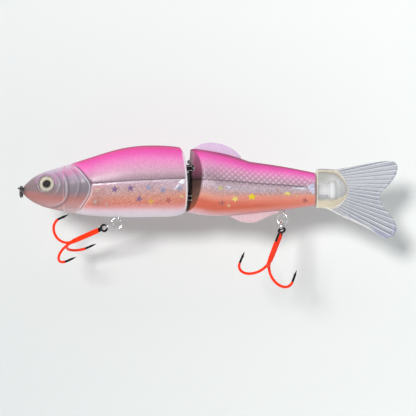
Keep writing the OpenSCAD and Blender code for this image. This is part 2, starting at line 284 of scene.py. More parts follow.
def make_backdrop():
    """A pale wall close behind the lure, rolling forward into a floor well below it, painted lighter
    toward the top right as a painted pool of light.
    """
    depth, floor, bend = 42.0, -165.0, 45.0
    profile = [(depth, 420.0), (depth, floor + bend)]
    for a in np.linspace(0, 90, 19)[1:]:
        c, s = math.cos(math.radians(a)), math.sin(math.radians(a))
        profile.append((depth - bend + bend * c, floor + bend - bend * s))
    profile.append((-1500.0, floor))
    verts = [(x, y, z) for x in (-900.0, 1100.0) for y, z in profile]
    n = len(profile)
    faces = [(i, i + 1, n + i + 1, n + i) for i in range(n - 1)]
    me = bpy.data.meshes.new("backdrop")
    me.from_pydata((np.array(verts) * MM).tolist(), [], faces)
    me.update()
    obj = link(bpy.data.objects.new("backdrop", me))
    if me.polygons[0].normal.y > 0:
        me.flip_normals()
    me.polygons.foreach_set("use_smooth", [True] * len(me.polygons))
    k = Nodes("studio_paper")
    tone = k.noise(3.0, 2.0).outputs[0]
    split = k.add("ShaderNodeSeparateXYZ")
    k.put(split.inputs[0], k.coord)
    # painted light: the paper is painted brighter across and up, toward the top right, as a pool of
    # light
    across = k.range(split.outputs[0], -0.01, 0.18, 0.0, 1.0)
    up = k.range(split.outputs[2], -0.1, 0.09, 0.0, 1.0)
    painted_light_falloff = k.times(k.plus(across, up), 0.5)
    base = k.mix(painted_light_falloff, hue((229, 232, 232)), hue((252, 255, 254)))
    paper = k.mix(k.range(tone, 0.3, 0.7, 0.0, 0.03), base, (0.8, 0.8, 0.8, 1))
    wall = k.principled(Base_Color=paper, Roughness=0.9, Specular_IOR_Level=0.1)
    clear = k.add("ShaderNodeBsdfTransparent")
    face = k.add("ShaderNodeNewGeometry").outputs["Backfacing"]
    me.materials.append(k.end(k.mix_shader(face, wall, clear)))


make_backdrop()

world = bpy.data.worlds.new("studio")
scene.world = world
world.use_nodes = True
wt = world.node_tree
wt.nodes.clear()
w_out, w_mix, w_light, w_seen, w_path = (wt.nodes.new("ShaderNode" + kind) for kind in (
    "OutputWorld", "MixShader", "Background", "Background", "LightPath"))
w_light.inputs[0].default_value = (0.97, 0.98, 1.0, 1)
w_light.inputs[1].default_value = 0.25
w_seen.inputs[0].default_value = (0.88, 0.885, 0.88, 1)
for i, output in enumerate((w_path.outputs["Is Camera Ray"], w_light.outputs[0], w_seen.outputs[0])):
    wt.links.new(output, w_mix.inputs[i])
wt.links.new(w_mix.outputs[0], w_out.inputs[0])


def aim(obj, at):
    d = Vector(at) * MM - obj.location
    obj.rotation_euler = d.to_track_quat("-Z", "Y").to_euler()


SHADOW_SHIFT = (14.0, 42.0, -10.5)
sun_data = bpy.data.lights.new("key", "SUN")
sun_data.energy, sun_data.angle = 1.95, math.radians(12)
sun_data.color = (1.0, 0.995, 0.985)
sun = link(bpy.data.objects.new("key", sun_data))
sun.rotation_euler = Vector(SHADOW_SHIFT).to_track_quat("-Z", "Y").to_euler()


def soft_box(name, at, size, power, target=(80, 0, 0)):
    data = bpy.data.lights.new(name, "AREA")
    data.shape, data.size, data.size_y, data.energy = "RECTANGLE", size[0] * MM, size[1] * MM, power
    obj = link(bpy.data.objects.new(name, data))
    obj.location = Vector(at) * MM
    aim(obj, target)
    return obj


soft_box("top_box", (60, -260, 330), (420, 120), 0.17)
soft_box("side_box", (-260, -300, 60), (120, 300), 0.07)

# ---------------------------------------------------------------- body outlines

FRONT_BACK = [(0.5, 0.1), (0.9, 1.2), (2.1, 2.4), (4.9, 4.9), (9.1, 7.2), (13.4, 8.7),
              (17.6, 9.9), (25.1, 12.3), (32.6, 14.7), (40.2, 17.1), (47.7, 19.0),
              (55.2, 20.0), (62.7, 20.2), (70.2, 19.9), (75.2, 19.3)]
FRONT_BELLY = [(0.5, -2.3), (0.9, -3.1), (2.1, -4.3), (4.9, -6.3), (9.1, -8.3), (13.4, -9.6),
               (17.6, -10.5), (25.1, -11.8), (32.6, -12.8), (40.2, -13.3), (50.5, -13.5),
               (64.6, -13.4), (71, -12.9), (75.2, -11.7)]
FRONT_SIDE = [(0.5, 0.8), (0.9, 1.7), (2.1, 2.7), (4.9, 4.2), (9.1, 5.7), (13.4, 6.9),
              (17.6, 7.8), (25.1, 9), (32.6, 9.7), (40.2, 10.1), (47.7, 10.4), (55.2, 10.5),
              (75.2, 10.4)]
REAR_BACK = [(77.9, 18.5), (80.1, 18.6), (85.3, 17.9), (94.2, 16.4), (102.2, 14.2),
             (106.5, 12.7), (111.6, 11.9), (119.1, 10.8), (126.6, 9.5), (134.2, 8),
             (137.8, 7.2)]
REAR_BELLY = [(77.9, -11.3), (81.5, -12), (85.3, -12.6), (89, -12.9), (96.6, -12.7),
              (109.7, -11.4), (125.7, -9.8), (137.8, -8.1)]
REAR_SIDE = [(77.9, 10.3), (86, 10.2), (95, 9.5), (105, 8.3), (115, 7), (125, 5.7),
             (132, 4.8), (137.8, 4.2)]
SEAM_FRONT = [(33.1, 2.1), (42.0, 2.7), (51.6, 3.4), (62.0, 3.9), (78.5, 4.6)]
SEAM_REAR = [(77.0, 4.4), (85.0, 4.1), (96.5, 3.4), (112.7, 2.1), (125.0, 1.3), (131.0, 0.9),
             (134.0, 1.3), (136.2, 2.5), (138.5, 4.6)]
SOCKET_X, WEDGE_X, REAR_END_X = 74.6, 77.9, 137.8
POCKET_R, POCKET_HALF = 3.4, 1.1
LEAN_Z = 4.0


def along(t, x):
    """Height of the smooth curve through a table's points at x."""
    t = np.asarray(t, float)
    x = np.asarray(x, float)
    i = np.clip(np.searchsorted(t[:, 0], x, side="right") - 1, 0, len(t) - 2)
    n = len(t)
    lo = np.maximum(np.arange(n) - 1, 0)
    hi = np.minimum(np.arange(n) + 1, n - 1)
    m = (t[hi, 1] - t[lo, 1]) / (t[hi, 0] - t[lo, 0])
    h = t[i + 1, 0] - t[i, 0]
    s = (x - t[i, 0]) / h
    return ((2 * s**3 - 3 * s**2 + 1) * t[i, 1] + (s**3 - 2 * s**2 + s) * m[i] * h
            + (3 * s**2 - 2 * s**3) * t[i + 1, 1] + (s**3 - s**2) * m[i + 1] * h)


def eased(s):
    c = np.clip(s, 0, 1)
    return c * c * (3 - 2 * c)


def bell(d, w):
    return np.exp(-((d / w) ** 2))


class Half:
    """The numbers of one body segment's half."""

    def __init__(self, back, belly, side, slope, lean, bend):
        self.back, self.belly, self.side = back, belly, side
        self.slope, self.lean, self.bend = slope, lean, bend

    def ring(self, x, angles, s=1.0, inset=0.0, at=None):
        """One section: x places it, at is where its outline is read."""
        at = x if at is None else at
        top = along(self.back, at) - 1.2 * inset
        low = along(self.belly, at) + inset
        half = along(self.side, at) - inset
        mid = low + 0.53 * (top - low)
        c = np.clip(np.cos(angles), 0, 1)
        y = s * half * np.where(angles > 0, c, c**0.82)
        z = mid + s * np.where(angles > 0, top - mid, mid - low) * np.sin(angles)
        b = self.bend(at)
        return np.stack([x + self.slope * b * y + self.lean * b * (z - LEAN_Z), y, z], 1)


FRONT = Half(FRONT_BACK, FRONT_BELLY, FRONT_SIDE, 0.31, -0.057,
             lambda x: eased((x - 58) / (SOCKET_X - 58)))
REAR = Half(REAR_BACK, REAR_BELLY, REAR_SIDE, 0.69, 0.07,
            lambda x: 1 - eased((x - WEDGE_X) / 20))


def smooth_line(points, steps=14):
    """A dense line through points, by Catmull-Rom."""
    p = np.array(points, float)
    p = np.vstack([2 * p[0] - p[1], p, 2 * p[-1] - p[-2]])
    out = []
    for i in range(1, len(p) - 2):
        for t in np.linspace(0, 1, steps, endpoint=False):
            out.append(0.5 * (2 * p[i] + (p[i + 1] - p[i - 1]) * t
                              + (2 * p[i - 1] - 5 * p[i] + 4 * p[i + 1] - p[i + 2]) * t**2
                              + (3 * p[i] - p[i - 1] - 3 * p[i + 1] + p[i + 2]) * t**3))
    out.append(p[-2])
    return np.array(out)


def run_along(points):
    """Length along a line up to each of its points."""
    return np.concatenate([[0], np.cumsum(np.linalg.norm(np.diff(points, axis=0), axis=1))])


def resampled(points, n, steps=12):
    """The smooth line through points, as n points at even lengths."""
    e = smooth_line(points, steps)
    run = run_along(e)
    t = np.linspace(0, run[-1], n)
    return np.stack([np.interp(t, run, e[:, 0]), np.interp(t, run, e[:, 1])], 1)


def line_distance(points, x, z):
    """Signed distance from a line drawn from back to belly, positive aft of it, and the share
    of the way along it. Far points get a large distance."""
    line = smooth_line(points)
    lo, hi = line.min(0) - 4, line.max(0) + 4
    near = (x > lo[0]) & (x < hi[0]) & (z > lo[1]) & (z < hi[1])
    d = np.full(x.shape, 99.0)
    t = np.zeros(x.shape)
    q = np.stack([x[near], z[near]], 1)
    a, b = line[:-1], line[1:]
    ab = b - a
    s = np.clip(((q[:, None] - a) * ab).sum(2) / (ab**2).sum(1), 0, 1)
    gap = q[:, None] - (a + s[..., None] * ab)
    dist = np.hypot(gap[..., 0], gap[..., 1])
    k = dist.argmin(1)
    r = np.arange(len(q))
    cross = ab[k, 0] * gap[r, k, 1] - ab[k, 1] * gap[r, k, 0]
    d[near] = dist[r, k] * np.sign(cross)
    t[near] = (k + s[r, k]) / len(ab)
    return d, t


CHEEK = [(13.6, 7.6), (16.6, 5.6), (18.3, 2.4), (17.6, -0.8), (15.2, -3.3)]
PREOPERCLE = [(18.2, 8.2), (20.6, 5.2), (21.7, 1.6), (21.5, -3.4), (19.2, -6.7), (15.0, -8.2),
              (9.5, -8.1)]
GILL_PLATE = [(22.0, 9.2), (25.2, 6.6), (27.1, 3.0), (26.9, -1.6), (24.6, -5.4)]
OPERCULUM = [(24.2, 10.9), (27.2, 9.0), (30.3, 5.7), (32.9, 1.7), (32.2, -3.1), (28.6, -8.6),
             (26.6, -10.4)]
EYE = np.array([11.75, 6.05, 2.2])
EYE_GROW = 1.09


def window(t, fade=0.16):
    return eased(t / fade) * eased((1 - t) / fade)


# ---------------------------------------------------------------- paint

# Stops of the paint from belly to back: share of the height, then the colour.
# Airbrush colours, as 8-bit sRGB.
PEARL, LILAC, BLUSH = (246, 242, 250), (226, 210, 228), (238, 206, 218)
SHELL_PINK, SALMON, CORAL, PEACH = (236, 166, 166), (236, 140, 120), (220, 108, 84), (232, 160, 140)
ROSE_GREY, SILVER_PINK, MAUVE, SEAM = (212, 168, 168), (212, 188, 200), (184, 156, 170), (150, 116, 132)
ORCHID, PINK, BUBBLEGUM = (196, 150, 174), (230, 148, 194), (250, 126, 202)
MAGENTA, CERISE, WINE = (250, 86, 184), (240, 60, 148), (150, 24, 72)
CLAY, DUSTY, TERRACOTTA = (168, 120, 118), (204, 156, 156), (184, 122, 118)
STONE, SLATE, THISTLE = (146, 124, 126), (132, 120, 130), (180, 156, 180)

# Paint from belly (0) to back (1) at stations along the body.
HEAD_NOSE = [(0, CLAY), (0.2, TERRACOTTA), (0.36, TERRACOTTA), (0.5, STONE), (1, STONE)]
HEAD_CHEEK = [(0, DUSTY), (0.1, DUSTY), (0.26, TERRACOTTA), (0.48, STONE), (0.66, SLATE),
              (0.84, THISTLE), (1, LILAC)]
GILL = [(0, DUSTY), (0.14, DUSTY), (0.28, TERRACOTTA), (0.42, SLATE), (0.56, SLATE),
        (0.7, THISTLE), (0.84, PINK), (1, LILAC)]
FLANK = [(0, PEARL), (0.1, BLUSH), (0.14, SHELL_PINK), (0.2, SALMON), (0.28, PEACH),
         (0.36, ROSE_GREY), (0.5, MAUVE), (0.55, SEAM), (0.63, ORCHID), (0.72, PINK),
         (0.82, BUBBLEGUM), (0.93, MAGENTA), (0.97, CERISE), (1, WINE)]
AFT_FLANK = [(0, PEARL), (0.09, BLUSH), (0.13, SHELL_PINK), (0.2, SALMON), (0.3, PEACH),
             (0.36, ROSE_GREY), (0.42, SILVER_PINK), (0.5, MAUVE), (0.56, SEAM), (0.64, ORCHID),
             (0.72, PINK), (0.81, BUBBLEGUM), (0.92, MAGENTA), (0.97, CERISE), (1, WINE)]
REAR_START = [(0, BLUSH), (0.05, SHELL_PINK), (0.1, CORAL), (0.2, CORAL), (0.28, PEACH),
              (0.36, ROSE_GREY), (0.46, SILVER_PINK), (0.58, SEAM), (0.66, ORCHID), (0.76, PINK),
              (0.84, BUBBLEGUM), (0.92, MAGENTA), (1, WINE)]
REAR_MID = [(0, SHELL_PINK), (0.07, SALMON), (0.13, CORAL), (0.25, SALMON), (0.34, PEACH),
            (0.42, SILVER_PINK), (0.5, SILVER_PINK), (0.57, MAUVE), (0.66, ORCHID), (0.75, PINK),
            (0.83, BUBBLEGUM), (0.92, MAGENTA), (1, WINE)]
REAR_AFT = [(0, SHELL_PINK), (0.1, SALMON), (0.2, SALMON), (0.32, PEACH), (0.46, SILVER_PINK),
            (0.55, MAUVE), (0.64, ORCHID), (0.74, PINK), (0.85, BUBBLEGUM), (0.94, MAGENTA),
            (1, WINE)]
STATIONS_FRONT = [(3, HEAD_NOSE), (13, HEAD_CHEEK), (25, GILL), (34, GILL), (42, FLANK),
                  (60, FLANK), (74, AFT_FLANK)]
STATIONS_REAR = [(84, REAR_START), (110, REAR_MID), (134, REAR_AFT)]


def read_stops(stops, h):
    p = np.array([s[0] for s in stops])
    c = np.array([srgb(*s[1]) for s in stops])
    return np.stack([np.interp(h, p, c[:, i]) for i in range(3)], 1)


def read_stations(stations, x, h):
    cols = [read_stops(s, h) for _, s in stations]
    at = np.array([s[0] for s in stations], float)
    i = np.clip(np.searchsorted(at, x) - 1, 0, len(at) - 2)
    f = np.clip((x - at[i]) / (at[i + 1] - at[i]), 0, 1)[:, None]
    stack = np.stack(cols)
    r = np.arange(len(x))
    return stack[i, r] * (1 - f) + stack[i + 1, r] * f


def blend_in(base, colour, amount):
    return base * (1 - amount[:, None]) + srgb(*colour)[None] * amount[:, None]


def layered(paint, layers):
    for colour, amount in layers:
        paint = blend_in(paint, colour, amount)
    return paint


def scales(x, v, pitch, row):
    """Overlapping scales in staggered rows: height 0 to 1, and a spot in the middle where a highlight
    is painted.
    """
    k = np.floor(v / row)
    fv = v / row - k
    best = np.zeros(x.shape)
    glint_spot = np.zeros(x.shape)
    for dk in (-1, 0, 1):
        kk = k + dk
        u = x / pitch + 0.5 * np.mod(kk, 2)
        du = (u - np.floor(u)) - 0.5
        dv = (fv - 0.5 - dk) * row / pitch
        r = np.hypot(du, dv * 1.15) / 0.56
        best = np.maximum(best, np.clip(1 - r, 0, 1) ** 0.7 * (0.75 + 0.5 * du))
        glint_spot = np.maximum(glint_spot, bell(r, 0.42))
    return best, glint_spot


def front_relief(p, h, at):
    """Relief along the normal and the paint of points of the front segment, painted shade and
    highlights included.
    """
    x, y, z = p.T
    paint = read_stations(STATIONS_FRONT, x, h)
    side = eased((np.abs(y) - 0.4) / 1.2)
    paint = blend_in(paint, (228, 208, 214),
                     0.75 * eased((0.13 - h) / 0.1) * eased((x - 13) / 12))
    d_op, t_op = line_distance(OPERCULUM, x, z)
    w_op = window(t_op, 0.12) * side
    soft = 0.1 + 2.6 * eased((z - 7.6) / 3.2) + 1.6 * eased((-5.5 - z) / 3)
    body = eased((np.where(x < 20, -99, d_op) / soft + 1) / 2)
    flank = read_stations([(0, FLANK), (60, FLANK), (74, AFT_FLANK)], x, h)
    warm = blend_in(flank, (196, 132, 128), 0.55 * bell(x - 35, 5) * (h < 0.5) * (h > 0.17))
    paint = paint * (1 - body[:, None]) + warm * body[:, None]
    rise = 0.42 * np.exp(np.minimum(d_op, 0) / 5.0) * (d_op <= 0) * w_op
    rise += -0.22 * bell(d_op - 0.45, 0.42) * w_op
    rise += 0.16 * bell(d_op + 0.55, 0.4) * w_op
    upper = eased((z + 0.5) / 3)
    # painted shade and highlights at the operculum's raised edge: a dark line for the shadow under the
    # edge above mid height, a pale line for the highlight on its bevel, and a light band aft of it
    # below
    paint = layered(paint, [
        ((66, 44, 62), 0.8 * bell(d_op - 0.22, 0.3) * w_op * upper),
        ((238, 232, 244), 0.6 * bell(d_op + 0.45, 0.3) * w_op),
        ((236, 214, 220), 0.5 * bell(d_op - 0.55, 0.4) * w_op * (1 - upper))])
    # painted shade and highlight along each gill line: a dark band aft of the raised edge for its
    # shadow, a pale line on the edge for its highlight
    for line, lift, dark, light in ((PREOPERCLE, 0.24, 0.5, 0.6), (GILL_PLATE, 0.15, 0.34, 0.3),
                                    (CHEEK, 0.1, 0.22, 0.3)):
        d, t = line_distance(line, x, z)
        w = window(t, 0.22) * side
        rise += lift * np.exp(np.minimum(d, 0) / 2.6) * (d <= 0) * w
        rise += lift * 0.45 * bell(d + 0.45, 0.45) * w - lift * 0.5 * bell(d - 0.55, 0.5) * w
        paint = layered(paint, [((86, 72, 84), dark * bell(d - 0.7, 0.55) * w),
                                ((232, 220, 232), light * bell(d + 0.1, 0.34) * w)])
    r_eye = np.hypot(x - EYE[0] - 0.1, z - EYE[2] + 0.2)
    near = bell(r_eye - 4.35, 0.55) * (np.abs(y) > 2)
    rise += 0.3 * near
    arc = eased((np.arctan2(z - EYE[2], EYE[0] - x) + 0.2) / 0.6) * (z > EYE[2] - 1)
    paint = blend_in(paint, (214, 150, 196), 0.75 * bell(r_eye - 4.7, 0.4) * arc)
    paint = blend_in(paint, (84, 74, 90), 0.5 * bell(r_eye - 3.8, 0.5) * (np.abs(y) > 2))
    seam = z - along(SEAM_FRONT, np.clip(x, 33.1, 78.5))
    on = eased((x - 32.9) / 1.0) * side
    rise += (0.08 * np.exp(-np.maximum(seam, 0) / 1.6) * (seam > 0) - 0.16 * bell(seam, 0.26)) * on
    # painted shade in the seam groove as a dark line, and a painted highlight as a pale line just below
    # it
    paint = blend_in(paint, (64, 46, 58), 0.72 * bell(seam - 0.05, 0.26) * on)
    paint = blend_in(paint, (232, 226, 236), 0.3 * bell(seam + 0.6, 0.4) * on)
    relief, glint_spot = scales(x, seam, 1.5, 0.75)
    over = eased(seam / 1.0) * (1 - eased((h - 0.76) / 0.16)) * eased((x - 33) / 2)
    rise += 0.06 * relief * over
    # painted highlight in the middle of each scale, and painted shade in the gaps between scales
    paint = blend_in(paint, (250, 230, 240), 0.3 * glint_spot * over)
    paint = paint * (1 - 0.25 * np.clip(0.45 - relief, 0, 1) * over)[:, None]
    nose = bell(np.hypot(x - 0.5, z + 1.3), 2.0)
    paint = blend_in(paint, (96, 78, 80), 0.5 * nose)
    hanger = bell(x - 44.6, 5.2) * bell(y, 3.2) * (z < -9)
    rise += 0.1 * hanger
    # painted highlight: a white line along the rim at the socket end
    lip = eased((at - SOCKET_X + 0.95) / 0.3) * eased((h - 0.02) / 0.08) * eased((0.93 - h) / 0.06)
    paint = blend_in(paint, (252, 250, 254), 0.85 * lip)
    foil = on * eased((0.3 - seam) / 0.6) * eased((h - 0.12) / 0.08)
    foil += 0.3 * over
    return rise, paint, np.clip(foil * (1 - lip), 0, 1)


def rear_relief(p, h, at):
    """The same for the rear segment, painted shade and highlights included."""
    x, y, z = p.T
    paint = read_stations(STATIONS_REAR, x, h)
    side = eased((np.abs(y) - 0.3) / 1.0)
    tooth = (x / 2.7) % 1.0
    seam = z - along(SEAM_REAR, np.clip(x, 77.0, 138.5)) + 0.34 * (tooth - 0.5)
    end = 1 - eased((x - 131.0) / 1.5)
    rise = (0.12 * np.exp(-np.maximum(seam, 0) / 1.6) * (seam > 0)
            - 0.2 * bell(seam, 0.26)) * side * end
    # painted shade in the seam groove: a dark line, stronger in dashes along the serration
    dash = eased(np.abs(tooth - 0.5) * -6 + 2.4)
    paint = blend_in(paint, (52, 38, 46), (0.45 + 0.4 * dash) * bell(seam, 0.27) * end)
    relief, glint_spot = scales(x, z - along(SEAM_REAR, np.clip(x, 77.0, 138.5)), 2.7, 1.27)
    grow = 0.35 + 0.65 * eased((x - 86) / 14)
    over = eased((seam + 0.2) / 0.6) * (1 - eased((h - 0.72) / 0.18)) * grow
    under = 0.45 * eased(-seam / 0.6) * eased((h - 0.3) / 0.1) * grow
    rise += (0.15 * over + 0.1 * under) * relief * side
    # painted highlight in the middle of each scale, and painted shade in the gaps between scales
    paint = blend_in(paint, (248, 232, 242), 0.66 * glint_spot**1.6 * over + 0.45 * glint_spot**1.6 * under)
    gaps = np.clip(0.45 - relief, 0, 1)
    paint = paint * (1 - 0.42 * gaps * (over + under))[:, None]
    notch = bell(np.hypot(x - 102.2, z - 14.3), 0.9)
    paint = blend_in(paint, (120, 40, 84), 0.75 * notch)
    strip = eased((x - 136.9) / 0.5)
    paint = blend_in(paint, (196, 150, 150), 0.7 * strip)
    foil = eased((0.2 - seam) / 0.6) * eased((h - 0.28) / 0.1) * side + 0.25 * over
    return rise, paint, np.clip(foil, 0, 1)


def shell_half(name, half, sign, stations, caps, relief, cavity, colour_caps):
    """A hollow half shell as one closed mesh: rings from end to end, a flat face on the middle
    plane with the float chamber open in it, and flat end faces. caps holds extra rings at each
    end as (x, scale, where the outline is read)."""
    steps = 112
    angles = np.linspace(-math.pi / 2, math.pi / 2, steps + 1)
    rings = [half.ring(x, angles, s, at=at) for x, s, at in caps[0]]
    rings += [half.ring(x, angles) for x in stations]
    rings += [half.ring(x, angles, s, at=at) for x, s, at in caps[1]]
    n, m = len(rings), steps + 1
    grid = np.array(rings)
    du = np.gradient(grid, axis=0)
    dv = np.gradient(grid, axis=1)
    normal = np.cross(dv, du)
    size = np.linalg.norm(normal, axis=2, keepdims=True)
    normal /= np.maximum(size, 1e-9)
    if normal[n // 2, m // 2, 1] < 0:
        normal = -normal
    normal[:, 0] = (0, 0, -1)
    normal[:, -1] = (0, 0, 1)
    ats = np.array([at for _, _, at in caps[0]] + list(stations) + [at for _, _, at in caps[1]])
    top, low = along(half.back, ats), along(half.belly, ats)
    h = np.clip((grid[:, :, 2] - low[:, None]) / (top - low)[:, None], 0, 1)
    rise, paint, foil = relief(grid.reshape(-1, 3), h.ravel(), np.repeat(ats, m))
    rise = rise.reshape(n, m)
    fade = np.ones(n)
    fade[:len(caps[0]) + 1] = 0
    fade[n - 1 - len(caps[1]):] = 0
    rise *= fade[:, None]
    edge = np.minimum(np.arange(m), np.arange(m)[::-1])
    rise -= 0.07 * bell(edge, 1.2)[None]
    grid += normal * rise[:, :, None]
    grid[:, 0, 1] = grid[:, -1, 1] = 0
    grid[:, :, 1] = np.maximum(grid[:, :, 1], 0)
    verts = list(grid.reshape(-1, 3))
    faces = sheet_faces(n, m)
    first = list(range(m))
    last = [(n - 1) * m + j for j in range(m)]
    base = len(verts)
    inner_angles = angles[::4]
    x0, x1, wall = cavity
    inner = [half.ring(x, inner_angles, inset=wall) for x in np.linspace(x0, x1, 24)]
    k = len(inner_angles)
    for r in inner:
        r[0, 1] = r[-1, 1] = 0
        verts += list(r)
    ni = len(inner)
    faces += sheet_faces(ni, k, base)

    def mid_of(a, b):
        verts.append((np.array(verts[a]) + np.array(verts[b])) / 2)
        return len(verts) - 1

    def cap(ring, at):
        """Closes an end with a face ruled across to the middle plane, and gives back the
        points of its middle line."""
        cols = 12
        pull = half.slope * half.bend(at)
        lines = [list(ring)]
        for c in range(1, cols + 1):
            line = [ring[0]]
            for v in ring[1:-1]:
                p = np.array(verts[v])
                t = c / cols
                line.append(len(verts))
                verts.append(np.array([p[0] - pull * p[1] * t, p[1] * (1 - t), p[2]]))
            lines.append(line + [ring[-1]])
        for a, b in zip(lines[:-1], lines[1:]):
            for j in range(m - 1):
                face = [a[j]]
                for v in (a[j + 1], b[j + 1], b[j]):
                    if v not in face:
                        face.append(v)
                if len(face) > 2:
                    faces.append(face)
        return lines[-1]

    cap_start = len(verts)
    mid_first, mid_last = cap(first, ats[0]), cap(last, ats[-1])
    cap_end = len(verts)
    in_first = [base + j for j in range(k)]
    in_last = [base + (ni - 1) * k + j for j in range(k)]
    m_in_first, m_in_last = mid_of(in_first[0], in_first[-1]), mid_of(in_last[0], in_last[-1])
    faces += [in_first + [m_in_first], in_last[::-1] + [m_in_last]]
    tops = [i * m + m - 1 for i in range(n)]
    lows = [i * m for i in range(n)]
    in_tops = [base + i * k + k - 1 for i in range(ni)]
    in_lows = [base + i * k for i in range(ni)]
    c = m // 2
    faces += [mid_first[c:-1] + tops + mid_last[c:-1][::-1] + [m_in_last] + in_tops[::-1]
              + [m_in_first],
              mid_first[1:c + 1][::-1] + lows + mid_last[1:c + 1] + [m_in_last]
              + in_lows[::-1] + [m_in_first]]
    verts = np.array(verts)
    verts[:, 1] *= sign
    obj = mesh_object(name, verts, faces, sharp=38)
    total = len(verts)
    colour = np.tile(srgb(120, 90, 100), (total, 1))
    colour[: n * m] = paint
    colour[cap_start:cap_end] = colour_caps(verts[cap_start:cap_end])
    value, gloss = np.zeros(total), np.zeros(total)
    value[: n * m], gloss[: n * m] = foil, 1
    vertex_colour(obj, "paint", colour)
    vertex_value(obj, "foil", value)
    vertex_value(obj, "gloss", gloss)
    return obj


def cut(obj, tools):
    """Takes the tools' solids out of obj and keeps its attributes."""
    for tool in tools:
        mod = obj.modifiers.new("cut", "BOOLEAN")
        mod.operation, mod.solver, mod.object = "DIFFERENCE", "EXACT", tool
    bpy.context.view_layer.update()
    dg = bpy.context.evaluated_depsgraph_get()
    me = bpy.data.meshes.new_from_object(obj.evaluated_get(dg))
    obj.modifiers.clear()
    obj.data = me
    me.polygons.foreach_set("use_smooth", [True] * len(me.polygons))
    me.set_sharp_from_angle(angle=math.radians(38))
    for tool in tools:
        bpy.data.objects.remove(tool)


def turned_solid(name, profile, matrix, steps=96):
    """A closed solid of revolution about local Z, from (radius, height) points."""
    verts, faces = [], []
    ring = []
    for r, z in profile:
        if r == 0:
            ring.append([len(verts)] * steps)
            verts.append((0, 0, z))
        else:
            ring.append([len(verts) + i for i in range(steps)])
            verts += [(r * math.cos(a), r * math.sin(a), z)
                      for a in np.linspace(0, 2 * math.pi, steps, endpoint=False)]
    for a, b in zip(ring[:-1], ring[1:]):
        for i in range(steps):
            j = (i + 1) % steps
            f = []
            for v in (a[i], a[j], b[j], b[i]):
                if v not in f:
                    f.append(v)
            if len(f) > 2:
                faces.append(f)
    verts = [tuple(matrix @ Vector(v)) for v in verts]
    return mesh_object(name, verts, faces)


def eye_matrix(sign):
    m = (Matrix.Translation(Vector(EYE)) @ Matrix.Rotation(math.radians(15), 4, "Z")
         @ Matrix.Rotation(math.radians(-80), 4, "X"))
    return (Matrix.Diagonal((1, sign, 1, 1)) @ m) if sign < 0 else m


# ---------------------------------------------------------------- materials


def paint_material(name, sparkle):
    """Airbrushed paint over glitter foil under a clear coat. The paint attribute holds the
    airbrushed colour with the painted shade and highlights of the relief, and foil how much of the
    flake shows."""
    k = Nodes(name)
    paint = k.attribute("paint").outputs["Color"]
    foil = k.attribute("foil").outputs["Fac"]
    flakes = k.cells(2900.0)
    grain = k.noise(1500.0, 4.0, 0.7).outputs[0]
    streak = k.noise(1.0, 3.0, 0.6, k.stretched((500.0, 500.0, 1500.0))).outputs[0]
    mottle = k.noise(160.0, 3.0).outputs[0]
    shade = k.plus(k.range(grain, 0.3, 0.7, -0.2, 0.2), k.range(streak, 0.3, 0.7, -0.08, 0.08))
    shade = k.times(shade, k.range(foil, 0.0, 0.6, 0.3, 1.0))
    shade = k.plus(shade, k.range(mottle, 0.3, 0.7, 0.97, 1.03))
    grey = k.add("ShaderNodeCombineColor")
    for s in grey.inputs:
        k.put(s, shade)
    base = k.mix(1.0, paint, grey.outputs[0], "MULTIPLY")
    # pale glitter flakes, also painted bright as glints on the foil
    split = k.split(flakes.outputs["Color"])
    lit = k.range(split[0], 0.8, 0.93, 0.0, sparkle)
    lit = k.times(lit, foil)
    glint = k.mix(split[1], hue((255, 240, 226)), hue((244, 240, 250)))
    base = k.mix(lit, base, glint)
    dim = k.times(k.range(split[2], 0.72, 0.9, 0.0, 0.3), foil)
    base = k.mix(dim, base, hue((104, 78, 96)))
    metal = k.times(foil, 0.32)
    gloss = k.attribute("gloss").outputs["Fac"]
    rough = k.math("SUBTRACT", k.range(gloss, 0.0, 1.0, 0.75, 0.52), k.times(foil, 0.14))
    rough = k.plus(rough, k.range(grain, 0.3, 0.7, -0.05, 0.05))
    tilt = k.bump(k.times(split[1], foil), 0.22, 0.0001)
    skin = k.bump(mottle, 0.03, 0.0001)
    p = k.principled(Base_Color=base, Metallic=metal, Roughness=rough, Normal=tilt,
                     Coat_Weight=k.times(gloss, 0.3), Coat_Roughness=0.24, Coat_Normal=skin,
                     Specular_IOR_Level=k.range(gloss, 0.0, 1.0, 0.12, 0.3))
    return k.end(p.outputs[0])


def metal_material(name, colour, rough, wear=0.12, grain=900.0, spots=0.0, spot_colour=None):
    k = Nodes(name)
    n = k.noise(grain, 4.0, 0.6).outputs[0]
    scratch = k.noise(1.0, 2.0, 0.5, k.stretched((2600.0, 500.0, 900.0))).outputs[0]
    dark = tuple(c * (1 - 2 * wear) for c in colour)
    light = tuple(min(1.0, c * (1 + wear)) for c in colour)
    base = k.mix(k.range(n, 0.35, 0.65, 0.0, 1.0), rgba(dark), rgba(light))
    if spot_colour is not None:
        blot = k.noise(420.0, 3.0, 0.6).outputs[0]
        base = k.mix(k.range(blot, 0.56, 0.66, 0.0, spots), base, rgba(spot_colour))
    r = k.range(scratch, 0.3, 0.7, rough - 0.06, rough + 0.08)
    b = k.bump(scratch, 0.06, 0.00005)
    p = k.principled(Base_Color=base, Metallic=1.0, Roughness=r, Normal=b)
    return k.end(p.outputs[0])


